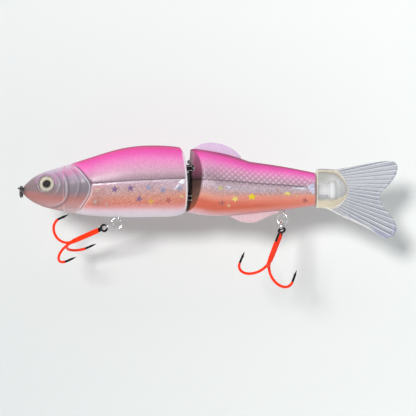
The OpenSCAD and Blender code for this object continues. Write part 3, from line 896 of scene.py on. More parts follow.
def plastic_material(name, colour, second, rough=0.35, grain=500.0, alpha=None, coat=0.3,
                     attribute=None, painted_glow=None, shine=0.5):
    """Moulded or soft plastic. With alpha it lets the light behind through, and an attribute
    named attribute makes it denser."""
    k = Nodes(name)
    n = k.noise(grain, 4.0, 0.6).outputs[0]
    m = k.noise(grain / 6, 2.0, 0.5).outputs[0]
    base = k.mix(k.range(n, 0.3, 0.7, 0.0, 0.55), hue(colour), hue(second))
    if attribute:
        base = k.mix(1.0, base, k.attribute(attribute).outputs["Color"], "MULTIPLY")
    r = k.range(m, 0.3, 0.7, rough - 0.07, rough + 0.07)
    b = k.bump(n, 0.05, 0.00005)
    p = k.principled(Base_Color=base, Roughness=r, Normal=b, Coat_Weight=coat,
                     Coat_Roughness=0.12, Specular_IOR_Level=shine)
    # painted glow: a constant orange emission stands in for the coating's fluorescent brightness
    if painted_glow:
        p.inputs["Emission Color"].default_value = rgba(painted_glow)
        p.inputs["Emission Strength"].default_value = 0.22
    if alpha is not None:
        a = k.range(m, 0.3, 0.7, alpha - 0.03, alpha + 0.03)
        if attribute:
            a = k.plus(a, k.attribute("dense").outputs["Fac"], clamp=True)
        k.put(p.inputs["Alpha"], a)
    return k.end(p.outputs[0])


FRONT_PAINT = paint_material("front_paint", 0.3)
REAR_PAINT = paint_material("rear_paint", 0.3)
RING_STEEL = metal_material("ring_nickel", (0.86, 0.86, 0.87), 0.16, 0.05)
SWIVEL_STEEL = metal_material("swivel_steel", (0.72, 0.72, 0.74), 0.24, 0.08)
JOINT_STEEL = metal_material("joint_steel", (0.16, 0.16, 0.17), 0.45, 0.15)
DARK_WIRE = metal_material("dark_wire", (0.17, 0.165, 0.17), 0.3, 0.2)
HOOK_STEEL = metal_material("hook_black_nickel", (0.035, 0.033, 0.034), 0.32, 0.3)
LEAD = metal_material("ballast_metal", (0.3, 0.3, 0.32), 0.5, 0.2)
# the coating's painted glow stands in for its fluorescent brightness
COATING = plastic_material("hook_coating", (255, 38, 0), (255, 62, 0), 0.5, 700, coat=0.08,
                           painted_glow=(1.0, 0.045, 0.0), shine=0.22)
PEG = plastic_material("peg_plastic", (255, 255, 255), (246, 246, 252), 0.4)


def rubber(name, colour, second):
    return plastic_material(name, colour, second, 0.6, 900, coat=0.0)


def eye_paper():
    """Pearly eye foil: cream with fine radial flecks, a thin dark rim and a black pupil."""
    k = Nodes("eye_foil")
    r = k.attribute("radius").outputs["Fac"]
    spoke = k.attribute("around").outputs["Fac"]
    comb = k.add("ShaderNodeCombineXYZ")
    k.put(comb.inputs[0], k.times(spoke, 14.0))
    k.put(comb.inputs[1], k.times(r, 0.7))
    rays = k.noise(2.6, 3.0, 0.6, comb.outputs[0]).outputs[0]
    ring = k.ramp(k.math("DIVIDE", r, 3.6), [
        (0.0, (6, 6, 5)), (0.43, (10, 9, 8)), (0.475, (96, 88, 64)),
        (0.53, (204, 194, 160)), (0.64, (246, 240, 222)), (0.82, (240, 230, 214)),
        (0.9, (196, 180, 168)), (0.95, (96, 84, 84)), (1.0, (52, 42, 50))])
    out = k.times(k.range(rays, 0.42, 0.62, 0.0, 0.85),
                 k.range(r, 1.7, 2.0, 0.0, 1.0))
    base = k.mix(out, ring, hue((150, 138, 110)))
    fine = k.noise(1500.0, 3.0).outputs[0]
    base = k.mix(k.range(fine, 0.4, 0.7, 0.0, 0.12), base, hue((150, 140, 120)))
    p = k.principled(Base_Color=base, Metallic=0.1, Roughness=k.range(fine, 0.3, 0.7, 0.3, 0.42))
    p.inputs["Specular IOR Level"].default_value = 0.2
    return k.end(p.outputs[0])


def clear_resin():
    """A thin clear dome: mostly see-through, with a mirror-like skin."""
    k = Nodes("eye_resin")
    fine = k.noise(300.0, 2.0).outputs[0]
    clear = k.add("ShaderNodeBsdfTransparent")
    k.put(clear.inputs[0], k.mix(k.range(fine, 0.4, 0.6, 0.0, 1.0), (0.99, 0.99, 1, 1),
                                 (0.95, 0.95, 0.97, 1)))
    gloss = k.add("ShaderNodeBsdfGlossy")
    k.put(gloss.inputs["Roughness"], k.range(fine, 0.3, 0.7, 0.02, 0.06))
    fres = k.add("ShaderNodeFresnel")
    fres.inputs["IOR"].default_value = 1.16
    return k.end(k.mix_shader(fres.outputs[0], clear, gloss))


EYE_FOIL, EYE_RESIN = eye_paper(), clear_resin()


def star_material(name, colour, second):
    """Holographic foil: a tinted mirror broken into small tilted patches."""
    k = Nodes(name)
    split = k.split(k.cells(1500.0).outputs["Color"])
    base = k.mix(split[0], hue(colour), hue(second))
    tilt = k.bump(split[1], 0.25, 0.0001)
    p = k.principled(Base_Color=base, Metallic=0.35, Normal=tilt,
                     Roughness=k.range(split[2], 0.0, 1.0, 0.25, 0.5))
    p.inputs["Coat Weight"].default_value = 0.8
    return k.end(p.outputs[0])


def assign(obj, mat):
    obj.data.materials.clear()
    obj.data.materials.append(mat)
    return obj


def place(obj, body, slot, *nodes):
    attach(obj, body)
    if nodes:
        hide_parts(*nodes)
    return obj


def add_piece(name, shape, sharp, mat, body, slot, *nodes):
    """One finished piece from its vertices and faces."""
    return place(assign(mesh_object(name, *shape, sharp=sharp), mat), body, slot, *nodes)


# ---------------------------------------------------------------- the four body halves


def wedge_face(verts):
    """Dark face of the joint, its colours painted reflections of the body and painted shade: maroon
    above, brown-black at mid height, rust below, greyer toward the front edge.
    """
    z, y = verts[:, 2], np.abs(verts[:, 1])
    c = read_stops([(-12, (150, 78, 52)), (-8, (130, 74, 56)), (-3, (96, 70, 62)),
                    (3.6, (74, 54, 52)), (4.2, (34, 22, 26)), (4.8, (76, 50, 58)),
                    (10, (128, 72, 94)), (18, (150, 84, 116))], z)
    grey = c.mean(1, keepdims=True)
    ash = eased((3.6 - y) / 2.2)[:, None]
    c = c * (1 - 0.6 * ash) + grey * 0.6 * ash
    # painted light: a band near the front edge is brightened against the front body's shadow; the sine
    # adds fine striations
    streak = 1.35 + 0.55 * bell(y - 2.4, 1.2) + 0.12 * np.sin(y * 7.5) * (z < 4)
    return c * streak[:, None] * 1.2


def socket_face(verts):
    return np.tile(srgb(92, 80, 88), (len(verts), 1))


head_x = np.concatenate([[0.5, 0.62, 0.76, 0.9, 1.1, 1.35, 1.6, 1.85], np.arange(2.1, 36.0, 0.26)])
front_x = np.concatenate([head_x, np.arange(36.1, SOCKET_X - 0.65, 0.34), [SOCKET_X - 0.55]])
rear_x = np.concatenate([[WEDGE_X + 0.5], np.arange(WEDGE_X + 0.75, REAR_END_X - 0.6, 0.3),
                         [REAR_END_X - 0.45]])
nose_caps = [(0.3, 0.45, 0.5), (0.33, 0.7, 0.5), (0.4, 0.88, 0.5)]
socket_caps = [(SOCKET_X - 0.36, 0.996, SOCKET_X - 0.4), (SOCKET_X - 0.16, 0.986, SOCKET_X - 0.2),
               (SOCKET_X - 0.03, 0.968, SOCKET_X), (SOCKET_X, 0.945, SOCKET_X)]
wedge_caps = [(WEDGE_X, 0.95, WEDGE_X), (WEDGE_X + 0.04, 0.972, WEDGE_X),
              (WEDGE_X + 0.16, 0.987, WEDGE_X + 0.2), (WEDGE_X + 0.33, 0.996, WEDGE_X + 0.35)]
tail_caps = [(REAR_END_X - 0.22, 0.985, REAR_END_X - 0.3), (REAR_END_X - 0.05, 0.955, REAR_END_X),
             (REAR_END_X, 0.92, REAR_END_X)]

POCKET = [(0, -POCKET_HALF), (POCKET_R, -POCKET_HALF), (POCKET_R, POCKET_HALF), (0, POCKET_HALF)]
pin_lo, pin_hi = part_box("joint_pin")
pivot_x = (pin_lo.x + pin_hi.x) / 2 / MM

shells = {}
for side, sign in SIDES:
    shell = shell_half(f"front_body_{side}", FRONT, sign, front_x, (nose_caps, socket_caps),
                       front_relief, (22.0, SOCKET_X - 3.6, 1.6), socket_face)
    tool = turned_solid("tool", [(0, -1.24), (3.62 * EYE_GROW, -1.24), (3.62 * EYE_GROW, 6), (0, 6)],
                        eye_matrix(sign))
    cut(shell, [tool])
    assign(shell, FRONT_PAINT)
    place(shell, "front_segment", "front_paint", f"front_shell_{side}")
    shells["front", side] = shell
    shell = shell_half(f"rear_body_{side}", REAR, sign, rear_x, (wedge_caps, tail_caps),
                       rear_relief, (WEDGE_X + 5.8, 130.4, 1.6), wedge_face)
    tools = []
    for node in ("upper_joint_eye", "lower_joint_eye"):
        lo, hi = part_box(node)
        z = (lo.z + hi.z) / 2 / MM
        m = Matrix.Translation((pivot_x, 0, z))
        tools.append(turned_solid("tool", POCKET, m, 64))
    cut(shell, tools)
    assign(shell, REAR_PAINT)
    place(shell, "rear_segment", "rear_paint", f"rear_shell_{side}")
    shells["rear", side] = shell


def wedge_ridge():
    """A dark bead along the wedge's front edge, filling the joint's gap, open where the joint eyes
    pass.
    """
    gaps = sorted(((lo.z / MM - 0.5, hi.z / MM + 0.5) for lo, hi in
                   (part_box("upper_joint_eye"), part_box("lower_joint_eye"))))
    spans = [(-10.6, gaps[0][0]), (gaps[0][1], gaps[1][0]), (gaps[1][1], 13.5)]
    parts = []
    for z0, z1 in spans:
        if z1 - z0 < 0.5:
            continue
        zs = np.linspace(z0, z1, 40)
        a = np.linspace(0, 2 * math.pi, 28, endpoint=False)
        rows = []
        for z in zs:
            swell = math.sqrt(max(0.05, 1 - (max(0, 1 - min(z - z0, z1 - z) / 0.6)) ** 2))
            cx = WEDGE_X + 0.07 * (z - LEAN_Z) + 0.15
            rough = 1 + 0.05 * math.sin(z * 5.1) + 0.04 * math.sin(z * 11.3)
            rows.append([(cx - 1.15 * swell * rough * math.cos(t) if math.cos(t) > 0
                          else cx - 0.9 * math.cos(t), 1.15 * swell * math.sin(t), z) for t in a])
        parts.append(capped_rod(rows))
    add_piece("wedge_ridge", joined(parts), 50, rubber("dark_bead", (158, 150, 156), (100, 96, 104)),
              "rear_segment", "rear_paint")


def ring_plate(z0, z1, r0, r1, steps=64):
    """A flat ring round the joint pin."""
    verts = []
    for r, z in ((r0, z0), (r1, z0), (r1, z1), (r0, z1)):
        verts += [(pivot_x + r * math.cos(a), r * math.sin(a), z)
                  for a in np.linspace(0, 2 * math.pi, steps, endpoint=False)]
    return verts, band_faces(4, steps, wrap=True)


def squarish(v):
    """Turns a circle's cosine or sine into those of a rounded square."""
    return np.sign(v) * np.abs(v) ** 0.5


def hinge_bushings():
    """Soft dark sleeves round the shafts of the joint eyes, inside the wedge's slots."""
    parts, washers = [], []
    for node in ("upper_joint_eye", "lower_joint_eye"):
        lo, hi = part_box(node)
        z0, tall = (lo.z + hi.z) / 2 / MM, (hi.z - lo.z) / 2 / MM
        for s in (-1, 1):
            near, far = sorted((s * (tall + 0.04), s * (POCKET_HALF - 0.015)))
            washers.append(ring_plate(z0 + near, z0 + far, 1.02, POCKET_R - 0.04))
        a = np.linspace(0, 2 * math.pi, 32, endpoint=False)
        rows = []
        for i, x in enumerate(np.linspace(75.2, 79.4, 12)):
            s = 0.86 + 0.14 * math.sin(math.pi * i / 11) ** 0.5
            rows.append([(x, 1.25 * s * squarish(math.cos(t)), z0 + 0.94 * s * squarish(math.sin(t)))
                         for t in a])
        parts.append(capped_rod(rows))
    add_piece("hinge_bushings", joined(parts), 50,
              rubber("bushing_rubber", (110, 106, 112), (70, 66, 74)), "front_segment", "front_paint")
    add_piece("joint_washers", joined(washers), 50,
              rubber("washer_rubber", (96, 88, 92), (64, 58, 62)), "rear_segment", "rear_paint")


# ---------------------------------------------------------------- eyes

IRIS_R, LENS_RIM, LENS_R = 3.58, 3.54, 5.85


def iris_shape():
    """A dished disc with a skirt: its vertices and faces, and each point's radius and turn."""
    rows, around = 30, 96
    rr = np.linspace(0, IRIS_R, rows)
    verts = [(0, 0, -0.86)]
    radius, turn = [0.0], [0.0]
    for r in rr[1:]:
        for i in range(around):
            a = 2 * math.pi * i / around
            oval = 1 + 0.05 * math.cos(2 * a)
            dish = -0.78 - 0.1 * math.cos(min(r / IRIS_R, 1) * math.pi / 2)
            verts.append((r * math.cos(a), r * math.sin(a), dish))
            radius.append(r / (oval if r < 2 else 1))
            turn.append(a)
    low = len(verts)
    for i in range(around):
        a = 2 * math.pi * i / around
        verts.append((IRIS_R * math.cos(a), IRIS_R * math.sin(a), -1.22))
        radius.append(3.6)
        turn.append(a)
    faces = [(0, 1 + i, 1 + (i + 1) % around) for i in range(around)]
    faces += band_faces(rows, around, 1) + [[low + i for i in range(around)]]
    return verts, faces, radius, turn


for side, sign in SIDES:
    m = eye_matrix(sign)
    verts, faces, radius, turn = iris_shape()
    wide = Matrix.Diagonal((EYE_GROW, EYE_GROW, 1, 1))
    iris = mesh_object(f"{side}_eye_iris", [tuple(m @ wide @ Vector(v)) for v in verts], faces,
                       sharp=40)
    vertex_value(iris, "radius", radius)
    vertex_value(iris, "around", turn)
    place(assign(iris, EYE_FOIL), "front_segment", "eye_foil", f"{side}_eye_disc")
    dome = [(0, -0.75)]
    for a in np.linspace(math.asin(LENS_RIM / LENS_R), 0, 26):
        dome.append((LENS_R * math.sin(a), -5.4 + LENS_R * math.cos(a)))
    dome[-1] = (0, dome[-1][1])
    lens = turned_solid(f"{side}_eye_lens", [(0, -0.76), (LENS_RIM, -0.76)] + dome[1:], m @ wide)
    lens.data.set_sharp_from_angle(angle=math.radians(40))
    place(assign(lens, EYE_RESIN), "front_segment", "eye_resin", f"{side}_eye_dome")

# ---------------------------------------------------------------- foil stars and facets


def surface_tree(obj):
    me = obj.data
    return BVHTree.FromPolygons([v.co.copy() for v in me.vertices],
                                [tuple(p.vertices) for p in me.polygons])


trees = {k: surface_tree(o) for k, o in shells.items()}


def on_surface(key, x, z, lift):
    sign = -1 if key[1] == "left" else 1
    hit = trees[key].ray_cast(Vector((x, sign * 40, z)) * MM, Vector((0, -sign, 0)))
    if hit[0] is None:
        return None
    n = hit[1] if hit[1].y * sign > 0 else -hit[1]
    return (hit[0] + n * lift * MM) / MM


def patch(key, outline, lift=0.045, splits=5):
    """A thin foil patch laid on the surface, from an outline of (x, z) round its centre."""
    c = np.mean(outline, axis=0)
    verts = []
    for k in range(splits + 1):
        s = k / splits
        for p in outline:
            q = c + (np.array(p) - c) * s
            v = on_surface(key, q[0], q[1], lift * (1.0 if k < splits else 0.3))
            if v is None:
                return [], []
            verts.append(tuple(v))
    return verts, band_faces(splits + 1, len(outline))


def star_outline(x, z, r, turn, inner=0.42, squash=1.0):
    pts = []
    for i in range(10):
        a = math.radians(turn + 36 * i)
        q = r if i % 2 == 0 else r * inner
        pts.append((x + q * math.sin(a), z + squash * q * math.cos(a)))
    dense = []
    for i in range(10):
        p, q = np.array(pts[i]), np.array(pts[(i + 1) % 10])
        dense += [tuple(p), tuple(p * 0.5 + q * 0.5)]
    return dense


FRONT_STARS = {
    "purple": [(44.0, -0.5, 1.95, 8), (51.3, 0.0, 2.0, -4), (55.3, -5.0, 1.75, 20)],
    "blue": [(59.8, 0.4, 1.95, 2), (66.4, -0.8, 1.95, 10), (74.1, 0.0, 2.0, -18)],
    "gold": [(60.8, -6.2, 2.0, 0)],
    "red": [(68.9, -5.6, 1.8, 30)],
    "ghost": [(36.5, -0.9, 1.8, 12), (34.9, -6.3, 1.5, 40), (40.2, -7.6, 1.0, 0)],
    "pale": [(75.0, -3.7, 1.3, 30, 0.6, 0.6)],
}
REAR_STARS = {
    "sage": [(93.2, 0.0, 1.9, 14)],
    "yellow": [(107.7, -4.0, 2.1, 4, 0.58, 0.82)],
    "lemon": [(124.4, -2.5, 1.9, 20, 0.5, 0.55), (99.8, -5.0, 2.0, 36, 0.42, 0.8)],
    "pale": [(128.8, -3.6, 1.4, 10, 0.5, 0.5), (96.9, -8.1, 1.2, 0)],
    "red": [(93.6, -6.9, 1.8, 8), (132.4, -5.7, 1.6, 24)],
    "ghost": [(100.5, -2.6, 1.6, 30), (116.4, -2.2, 1.5, 16), (119.6, -1.0, 1.2, 5)],
}
FOIL_COLOURS = {
    "purple": ((120, 82, 130), (164, 130, 172)), "ghost": ((218, 188, 180), (196, 152, 146)),
    "lemon": ((255, 244, 150), (252, 228, 96)), "blue": ((140, 136, 166), (184, 178, 204)),
    "gold": ((244, 198, 104), (236, 160, 92)), "red": ((188, 92, 92), (208, 128, 118)),
    "pale": ((240, 214, 150), (232, 160, 124)), "sage": ((214, 206, 140), (214, 190, 160)),
    "yellow": ((255, 218, 0), (255, 238, 60)), "white": ((250, 250, 255), (226, 226, 246)),
    "lilac": ((206, 206, 240), (240, 240, 255)),
}
FOILS = {name: star_material(f"{name}_foil", *pair) for name, pair in FOIL_COLOURS.items()}


def lay_foils(name, segment, outlines, mat):
    patches = [patch((segment, side), o) for side in ("left", "right") for o in outlines]
    shape = joined([p for p in patches if p[0]])
    obj = add_piece(name, shape, 30, mat, f"{segment}_segment", f"{segment}_paint")
    thick = obj.modifiers.new("thickness", "SOLIDIFY")
    thick.thickness, thick.offset = 0.03 * MM, -1


for segment, table in (("front", FRONT_STARS), ("rear", REAR_STARS)):
    for colour, stars in table.items():
        lay_foils(f"{segment}_{colour}_stars", segment, [star_outline(*s) for s in stars],
                  FOILS[colour])


def filled(points, per=4):
    out = []
    for i in range(len(points)):
        p, q = np.array(points[i]), np.array(points[(i + 1) % len(points)])
        out += [tuple(p + (q - p) * k / per) for k in range(per)]
    return out


# painted reflections: white foil patches laid where the lateral-line ridge reflects the light
lay_foils("front_reflection_patches", "front", [
    filled([(71.0, -0.9), (73.3, 0.1), (74.2, 1.8), (73.6, 2.0), (72.6, 0.9), (71.6, -0.2)]),
    filled([(73.2, 2.4), (75.3, 4.1), (76.7, 4.1), (76.5, 2.2), (75.2, 1.7)])], FOILS["white"])
lay_foils("rear_reflection_patches", "rear", [
    filled([(126.0, 0.35), (132.6, 0.35), (133.8, -0.25), (132.4, -0.75), (126.6, -0.1)], 6),
    filled([(95.4, 1.1), (98.2, 0.9), (97.0, -0.3)])], FOILS["white"])
lay_foils("rear_lilac_facets", "rear", [
    filled([(133.4, 0.9), (136.9, 2.8), (137.0, -3.0), (136.0, -2.6)], 6)], FOILS["lilac"])

# ---------------------------------------------------------------- rings, swivels, wires


def tube(path, radius, steps=16, closed=False):
    """A round wire along a path. radius is one number or one for each point."""
    p = np.array(path, float)
    n = len(p)
    r = np.full(n, radius) if np.isscalar(radius) else np.array(radius, float)
    if closed:
        t = np.roll(p, -1, 0) - np.roll(p, 1, 0)
    else:
        t = np.gradient(p, axis=0)
    t /= np.maximum(np.linalg.norm(t, axis=1, keepdims=True), 1e-9)
    u = np.zeros_like(p)
    seed = np.array([0.0, 0, 1]) if abs(t[0][2]) < 0.9 else np.array([1.0, 0, 0])
    for i in range(n):
        seed = seed - t[i] * (seed @ t[i])
        seed = seed / np.linalg.norm(seed)
        u[i] = seed
    w = np.cross(t, u)
    a = np.linspace(0, 2 * math.pi, steps, endpoint=False)
    verts = (p[:, None] + r[:, None, None] * (u[:, None] * np.cos(a)[None, :, None]
                                              + w[:, None] * np.sin(a)[None, :, None]))
    verts = list(verts.reshape(-1, 3))
    faces = band_faces(n, steps, wrap=closed)
    if not closed:
        for i, s in ((0, -1), (n - 1, 1)):
            verts.append(p[i] + t[i] * s * r[i] * 0.35)
            c = len(verts) - 1
            for j in range(steps):
                faces.append((c, i * steps + j, i * steps + (j + 1) % steps))
    return np.array(verts), faces


def moved(v, matrix):
    m = np.array(matrix)
    return np.asarray(v) @ m[:3, :3].T + m[:3, 3]


RING_R, RING_WIRE = 2.5, 0.34


def split_ring(name, matrix, body, slot, mat, node):
    """Two turns of wire that cross over once, with cut ends, round local Y."""
    t = np.linspace(math.radians(14), math.radians(706), 190)
    side = 0.8 * RING_WIRE * np.tanh((t - 2 * math.pi) / 0.22)
    path = np.stack([RING_R * np.cos(t), side, RING_R * np.sin(t)], 1)
    v, f = tube(path, RING_WIRE, 14)
    return add_piece(name, (moved(v, matrix), f), 50, mat, body, slot, node)


def rot(axis, degrees):
    return Matrix.Rotation(math.radians(degrees), 4, axis)


def shift(x, y, z):
    return Matrix.Translation((x, y, z))


HUNG = RING_R - 2 * RING_WIRE - 0.27
RIGS = {"front": (45.3, -14.0, (0, 42, 70, 25.5, -3, -173)),
        "rear": (123.1, -11.85, (-20, 40, -8, -48, 8.7, 180))}
SWIVEL_EYE_R = 1.25


def link_matrix(which, n):
    x, z, rig = RIGS[which]
    m = shift(x, 0, z - SWIVEL_EYE_R) @ rot("Z", rig[0])
    if n == 1:
        return m @ rot("Y", rig[1])
    a = math.radians(rig[1])
    m = m @ shift(-HUNG * math.sin(a), 0, -HUNG * math.cos(a)) @ rot("Y", rig[2])
    m = m @ shift(0, 0, -RING_R) @ rot("X", rig[3])
    if n == 2:
        return m
    return m @ shift(0, 0, -HUNG - RING_R) @ rot("Y", rig[4])


for which in ("front", "rear"):
    down = shift(0, 0, -HUNG)
    split_ring(f"{which}_upper_coil", link_matrix(which, 1) @ down @ rot("Y", 40),
               f"{which}_upper_ring_link", "ring_steel", RING_STEEL, f"{which}_upper_ring")
    split_ring(f"{which}_lower_coil", link_matrix(which, 2) @ down @ rot("Z", 90) @ rot("Y", 200),
               f"{which}_lower_ring_link", "ring_steel", RING_STEEL, f"{which}_lower_ring")
split_ring("nose_coil", shift(-0.25, -1.783, -1.6) @ rot("Z", 90) @ rot("Y", -70),
           "nose_ring_link", "dark_wire", DARK_WIRE, "nose_ring")

# ---------------------------------------------------------------- treble hooks

HOOKS = {"front": (6.2, 19.6, 5.7, -173), "rear": (7.3, 21.1, 7.4, 180)}
EYE_DROP = -0.36


def arm_path(bend_r, shank, point, turn, top):
    """Centre line of one of a treble's three wires, from the eye round the bend to the tip."""
    off = 0.6
    pts = [(off * eased((-1.0 - z) / 1.2), z) for z in np.linspace(top, -shank + 2, 34)]
    pts += [(off + (0.3 - off) * eased(s), -shank + 2 - 2 * s) for s in np.linspace(0.2, 1, 5)]
    for a in np.linspace(180, 360, 44)[1:]:
        c, s = math.cos(math.radians(a)), math.sin(math.radians(a))
        pts.append((0.3 + bend_r + bend_r * c, -shank + bend_r * s))
    for z in np.linspace(0.3, point, 20):
        pts.append((0.3 + 2 * bend_r - 0.05 * (z / point) ** 2, -shank + z))
    p = np.array(pts)
    c, s = math.cos(math.radians(turn)), math.sin(math.radians(turn))
    return np.stack([p[:, 0] * c, p[:, 0] * s, p[:, 1]], 1)


def treble(which):
    bend_r, shank, point, roll = HOOKS[which]
    m = link_matrix(which, 3) @ shift(0, 0, EYE_DROP)
    steel, coat = [], []
    t = np.linspace(0, 2 * math.pi, 64, endpoint=False)
    steel.append(tube(np.stack([1.5 * np.cos(t), 0 * t, 1.5 * np.sin(t)], 1), 0.5, 16, True))
    for k in range(3):
        turn = roll + 120 * k
        p = arm_path(bend_r, shank, point, turn, -1.55)
        run = run_along(p)
        total = run[-1]
        left = total - run
        r = 0.55 * np.clip(left / 2.9, 0.04, 1) ** 0.75
        steel.append(tube(p, r, 14))
        tip = p[-1]
        along_tip = (p[-1] - p[-6]) / np.linalg.norm(p[-1] - p[-6])
        inward = -np.array([math.cos(math.radians(turn)), math.sin(math.radians(turn)), 0])
        root = tip - along_tip * 3.1 + inward * 0.28
        barb = [root + along_tip * -0.5 * s + inward * 0.62 * s for s in np.linspace(0, 1, 6)]
        steel.append(tube(barb, 0.3 * np.linspace(1, 0.12, 6), 8))
        start, stop = 1.3, total - point - 0.5
        keep = (run > start) & (run < stop)
        q = p[keep]
        shaft = eased((len(q) - np.arange(len(q)) - 46) / 12)
        rq = 0.63 + 0.13 * shaft
        rq[0] = rq[-1] = 0.575
        rq[1] = rq[-2] = 0.615
        coat.append(tube(q, rq, 18))
    v, f = joined(steel)
    add_piece(f"{which}_treble_wire", (moved(v, m), f), 50, HOOK_STEEL, f"{which}_hook_link",
              "hook_coating", f"{which}_treble_hook")
    v, f = joined(coat)
    add_piece(f"{which}_treble_coating", (moved(v, m), f), 60, COATING, f"{which}_hook_link",
              "hook_coating")


treble("front")
treble("rear")
wedge_ridge()
hinge_bushings()

# ---------------------------------------------------------------- fins


def fin(name, edge, base_line, x0, x1, sunk, rays, lean, slot, body, node, mat, tint):
    """A thin moulded fin as one closed leaf: ribbed faces, a fine free edge, a sunk root."""
    nu, nv = 130, 40
    u = np.linspace(0, 1, nu)
    ex, ez = resampled(edge, nu, 10).T
    bx = x0 + (x1 - x0) * u
    bz = along(base_line, bx) + sunk
    w = np.linspace(0, 1, nv)[None]
    gx = bx[:, None] * (1 - w) + ex[:, None] * w
    gz = bz[:, None] * (1 - w) + ez[:, None] * w
    rib = 0.5 + 0.5 * np.cos(2 * math.pi * (u[:, None] * rays + lean * w))
    ends = eased(u / 0.04) * eased((1 - u) / 0.04)
    half = (0.62 - 0.4 * w) * (0.35 + 0.65 * ends[:, None])
    half = half + 0.012 * (rib - 0.5) * eased(w / 0.3) * (1 - eased((w - 0.88) / 0.12))
    rim = eased((1 - w) / 0.05)
    half = np.clip(half * (0.45 + 0.55 * rim), 0.08, 0.69)
    front = np.stack([gx, -half, gz], 2).reshape(-1, 3)
    back = np.stack([gx, half, gz], 2).reshape(-1, 3)
    verts = np.vstack([front, back])
    faces = leaf_faces(nu, nv)
    obj = mesh_object(name, verts, faces, sharp=50)
    shade = 1 + 0.04 * (rib - 0.5) + 0 * w
    root = eased((0.4 - w) / 0.4)
    colour = np.ones((nu, nv, 3)) * shade[..., None]
    colour = colour * (1 - root[..., None]) + np.array(tint)[None, None] * root[..., None]
    dense = (0.02 * rib + 0.3 * root + 0.25 * (1 - rim)) * np.ones((nu, nv))
    vertex_colour(obj, "tone", np.vstack([colour.reshape(-1, 3)] * 2))
    vertex_value(obj, "dense", np.concatenate([dense.ravel()] * 2))
    place(assign(obj, mat), body, slot, node)


def leaf_faces(nu, nv):
    """Faces of a closed leaf whose two sides are grids of nu by nv points."""
    n = nu * nv
    faces = []
    for i in range(nu - 1):
        for j in range(nv - 1):
            a, b, c, d = i * nv + j, (i + 1) * nv + j, (i + 1) * nv + j + 1, i * nv + j + 1
            faces += [(a, b, c, d), (n + a, n + d, n + c, n + b)]
    rim = ([i * nv for i in range(nu)] + [(nu - 1) * nv + j for j in range(1, nv)]
           + [i * nv + nv - 1 for i in range(nu - 2, -1, -1)] + [j for j in range(nv - 2, 0, -1)])
    for a, b in zip(rim, rim[1:] + rim[:1]):
        faces.append((a, n + a, n + b, b))
    return faces


DORSAL_EDGE = [(80.5, 18.7), (82.3, 20.05), (84.5, 21.0), (88.2, 21.55), (91.5, 21.25),
               (94.6, 20.45), (97.6, 19.15), (100.2, 17.45), (102.2, 15.4), (102.7, 14.5)]
ANAL_EDGE = [(96.7, -12.9), (99, -13.85), (102, -15.35), (105, -16.0), (108.2, -16.05),
             (110.4, -15.55), (114.5, -13.65), (118, -12.15), (120.5, -11.4)]
LILAC_FIN = plastic_material("lilac_fin", (244, 208, 246), (226, 200, 244), 0.3, 700,
                             alpha=0.62, coat=0.5, attribute="tone")
ROSE_FIN = plastic_material("rose_fin", (250, 220, 228), (240, 206, 214), 0.3, 700,
                            alpha=0.7, coat=0.5, attribute="tone")
fin("dorsal_leaf", DORSAL_EDGE, REAR_BACK, 80.5, 102.7, -1.15, 15, -1.2, "fin_plastic",
    "rear_segment", "dorsal_fin", LILAC_FIN, (1.0, 0.45, 0.75))
fin("anal_leaf", ANAL_EDGE, REAR_BELLY, 96.7, 120.5, 1.15, 13, 1.0, "fin_plastic",
    "rear_segment", "anal_fin", ROSE_FIN, (0.96, 0.46, 0.44))

# ---------------------------------------------------------------- soft tail

TAIL_START, BULB_END = 138.0, 153.1
BULB_BACK = [(138.0, 9.0), (141, 9.1), (144, 8.9), (147.1, 8.0), (149.9, 5.3), (151.9, 2.2),
             (153.1, -1.3)]
BULB_BELLY = [(138.0, -9.3), (141, -9.3), (144, -9.0), (147.1, -8.3), (149.9, -6.4),
              (151.9, -4.0), (153.1, -1.3)]
BULB_SIDE = [(138.0, 4.3), (141, 4.4), (144, 4.3), (147.1, 3.8), (149.9, 2.9), (151.9, 1.8),
             (153.1, 0.5)]
TAIL_TOP = [(138.0, 9.0), (141, 9.25), (147.1, 8.95), (151.0, 9.6), (156.7, 10.6), (164.2, 12.0),
            (171.8, 12.9), (174.4, 12.6), (175.9, 11.4)]
TAIL_LOW = [(138.0, -9.25), (142.5, -9.5), (147.1, -11.8), (151.5, -13.9), (156.1, -16.0),
            (160.5, -18.1), (164.5, -20.2), (168.7, -22.8), (171.6, -23.4), (174.2, -22.3)]
TAIL_EDGE = [(175.9, 11.4), (176.3, 10.2), (176.1, 8.2), (175.3, 5.9), (173.2, 2.8), (171.0, 0.3),
             (169.2, -1.3), (168.0, -2.5), (167.9, -3.8), (168.6, -5.8), (169.3, -7.8),
             (170.5, -9.7), (172.9, -12.3), (174.6, -14.9), (175.7, -17.8), (175.6, -20.0),
             (174.2, -22.3)]
RAYS, RAY_FROM, RAY_TURN = 15, (126.5, 2.8), (-28.2, 12.0)


def blend_grid(base, layers):
    for colour, amount in layers:
        base = base * (1 - amount[..., None]) + np.array(colour) * amount[..., None]
    return base


def tail_grid(nu, nv):
    """Points of the tail's middle plane, filled in between its four edges."""
    top, low = resampled(TAIL_TOP, nu), resampled(TAIL_LOW, nu)
    edge = resampled(TAIL_EDGE[::-1], nv)
    start = np.stack([np.full(nv, TAIL_START), np.linspace(low[0, 1], top[0, 1], nv)], 1)
    start[0], start[-1], edge[0], edge[-1] = low[0], top[0], low[-1], top[-1]
    u = np.linspace(0, 1, nu)[:, None, None]
    v = np.linspace(0, 1, nv)[None, :, None]
    g = ((1 - v) * low[:, None] + v * top[:, None] + (1 - u) * start[None] + u * edge[None]
         - (1 - u) * (1 - v) * low[0] - u * (1 - v) * low[-1] - (1 - u) * v * top[0]
         - u * v * top[-1])
    return g[..., 0], g[..., 1]


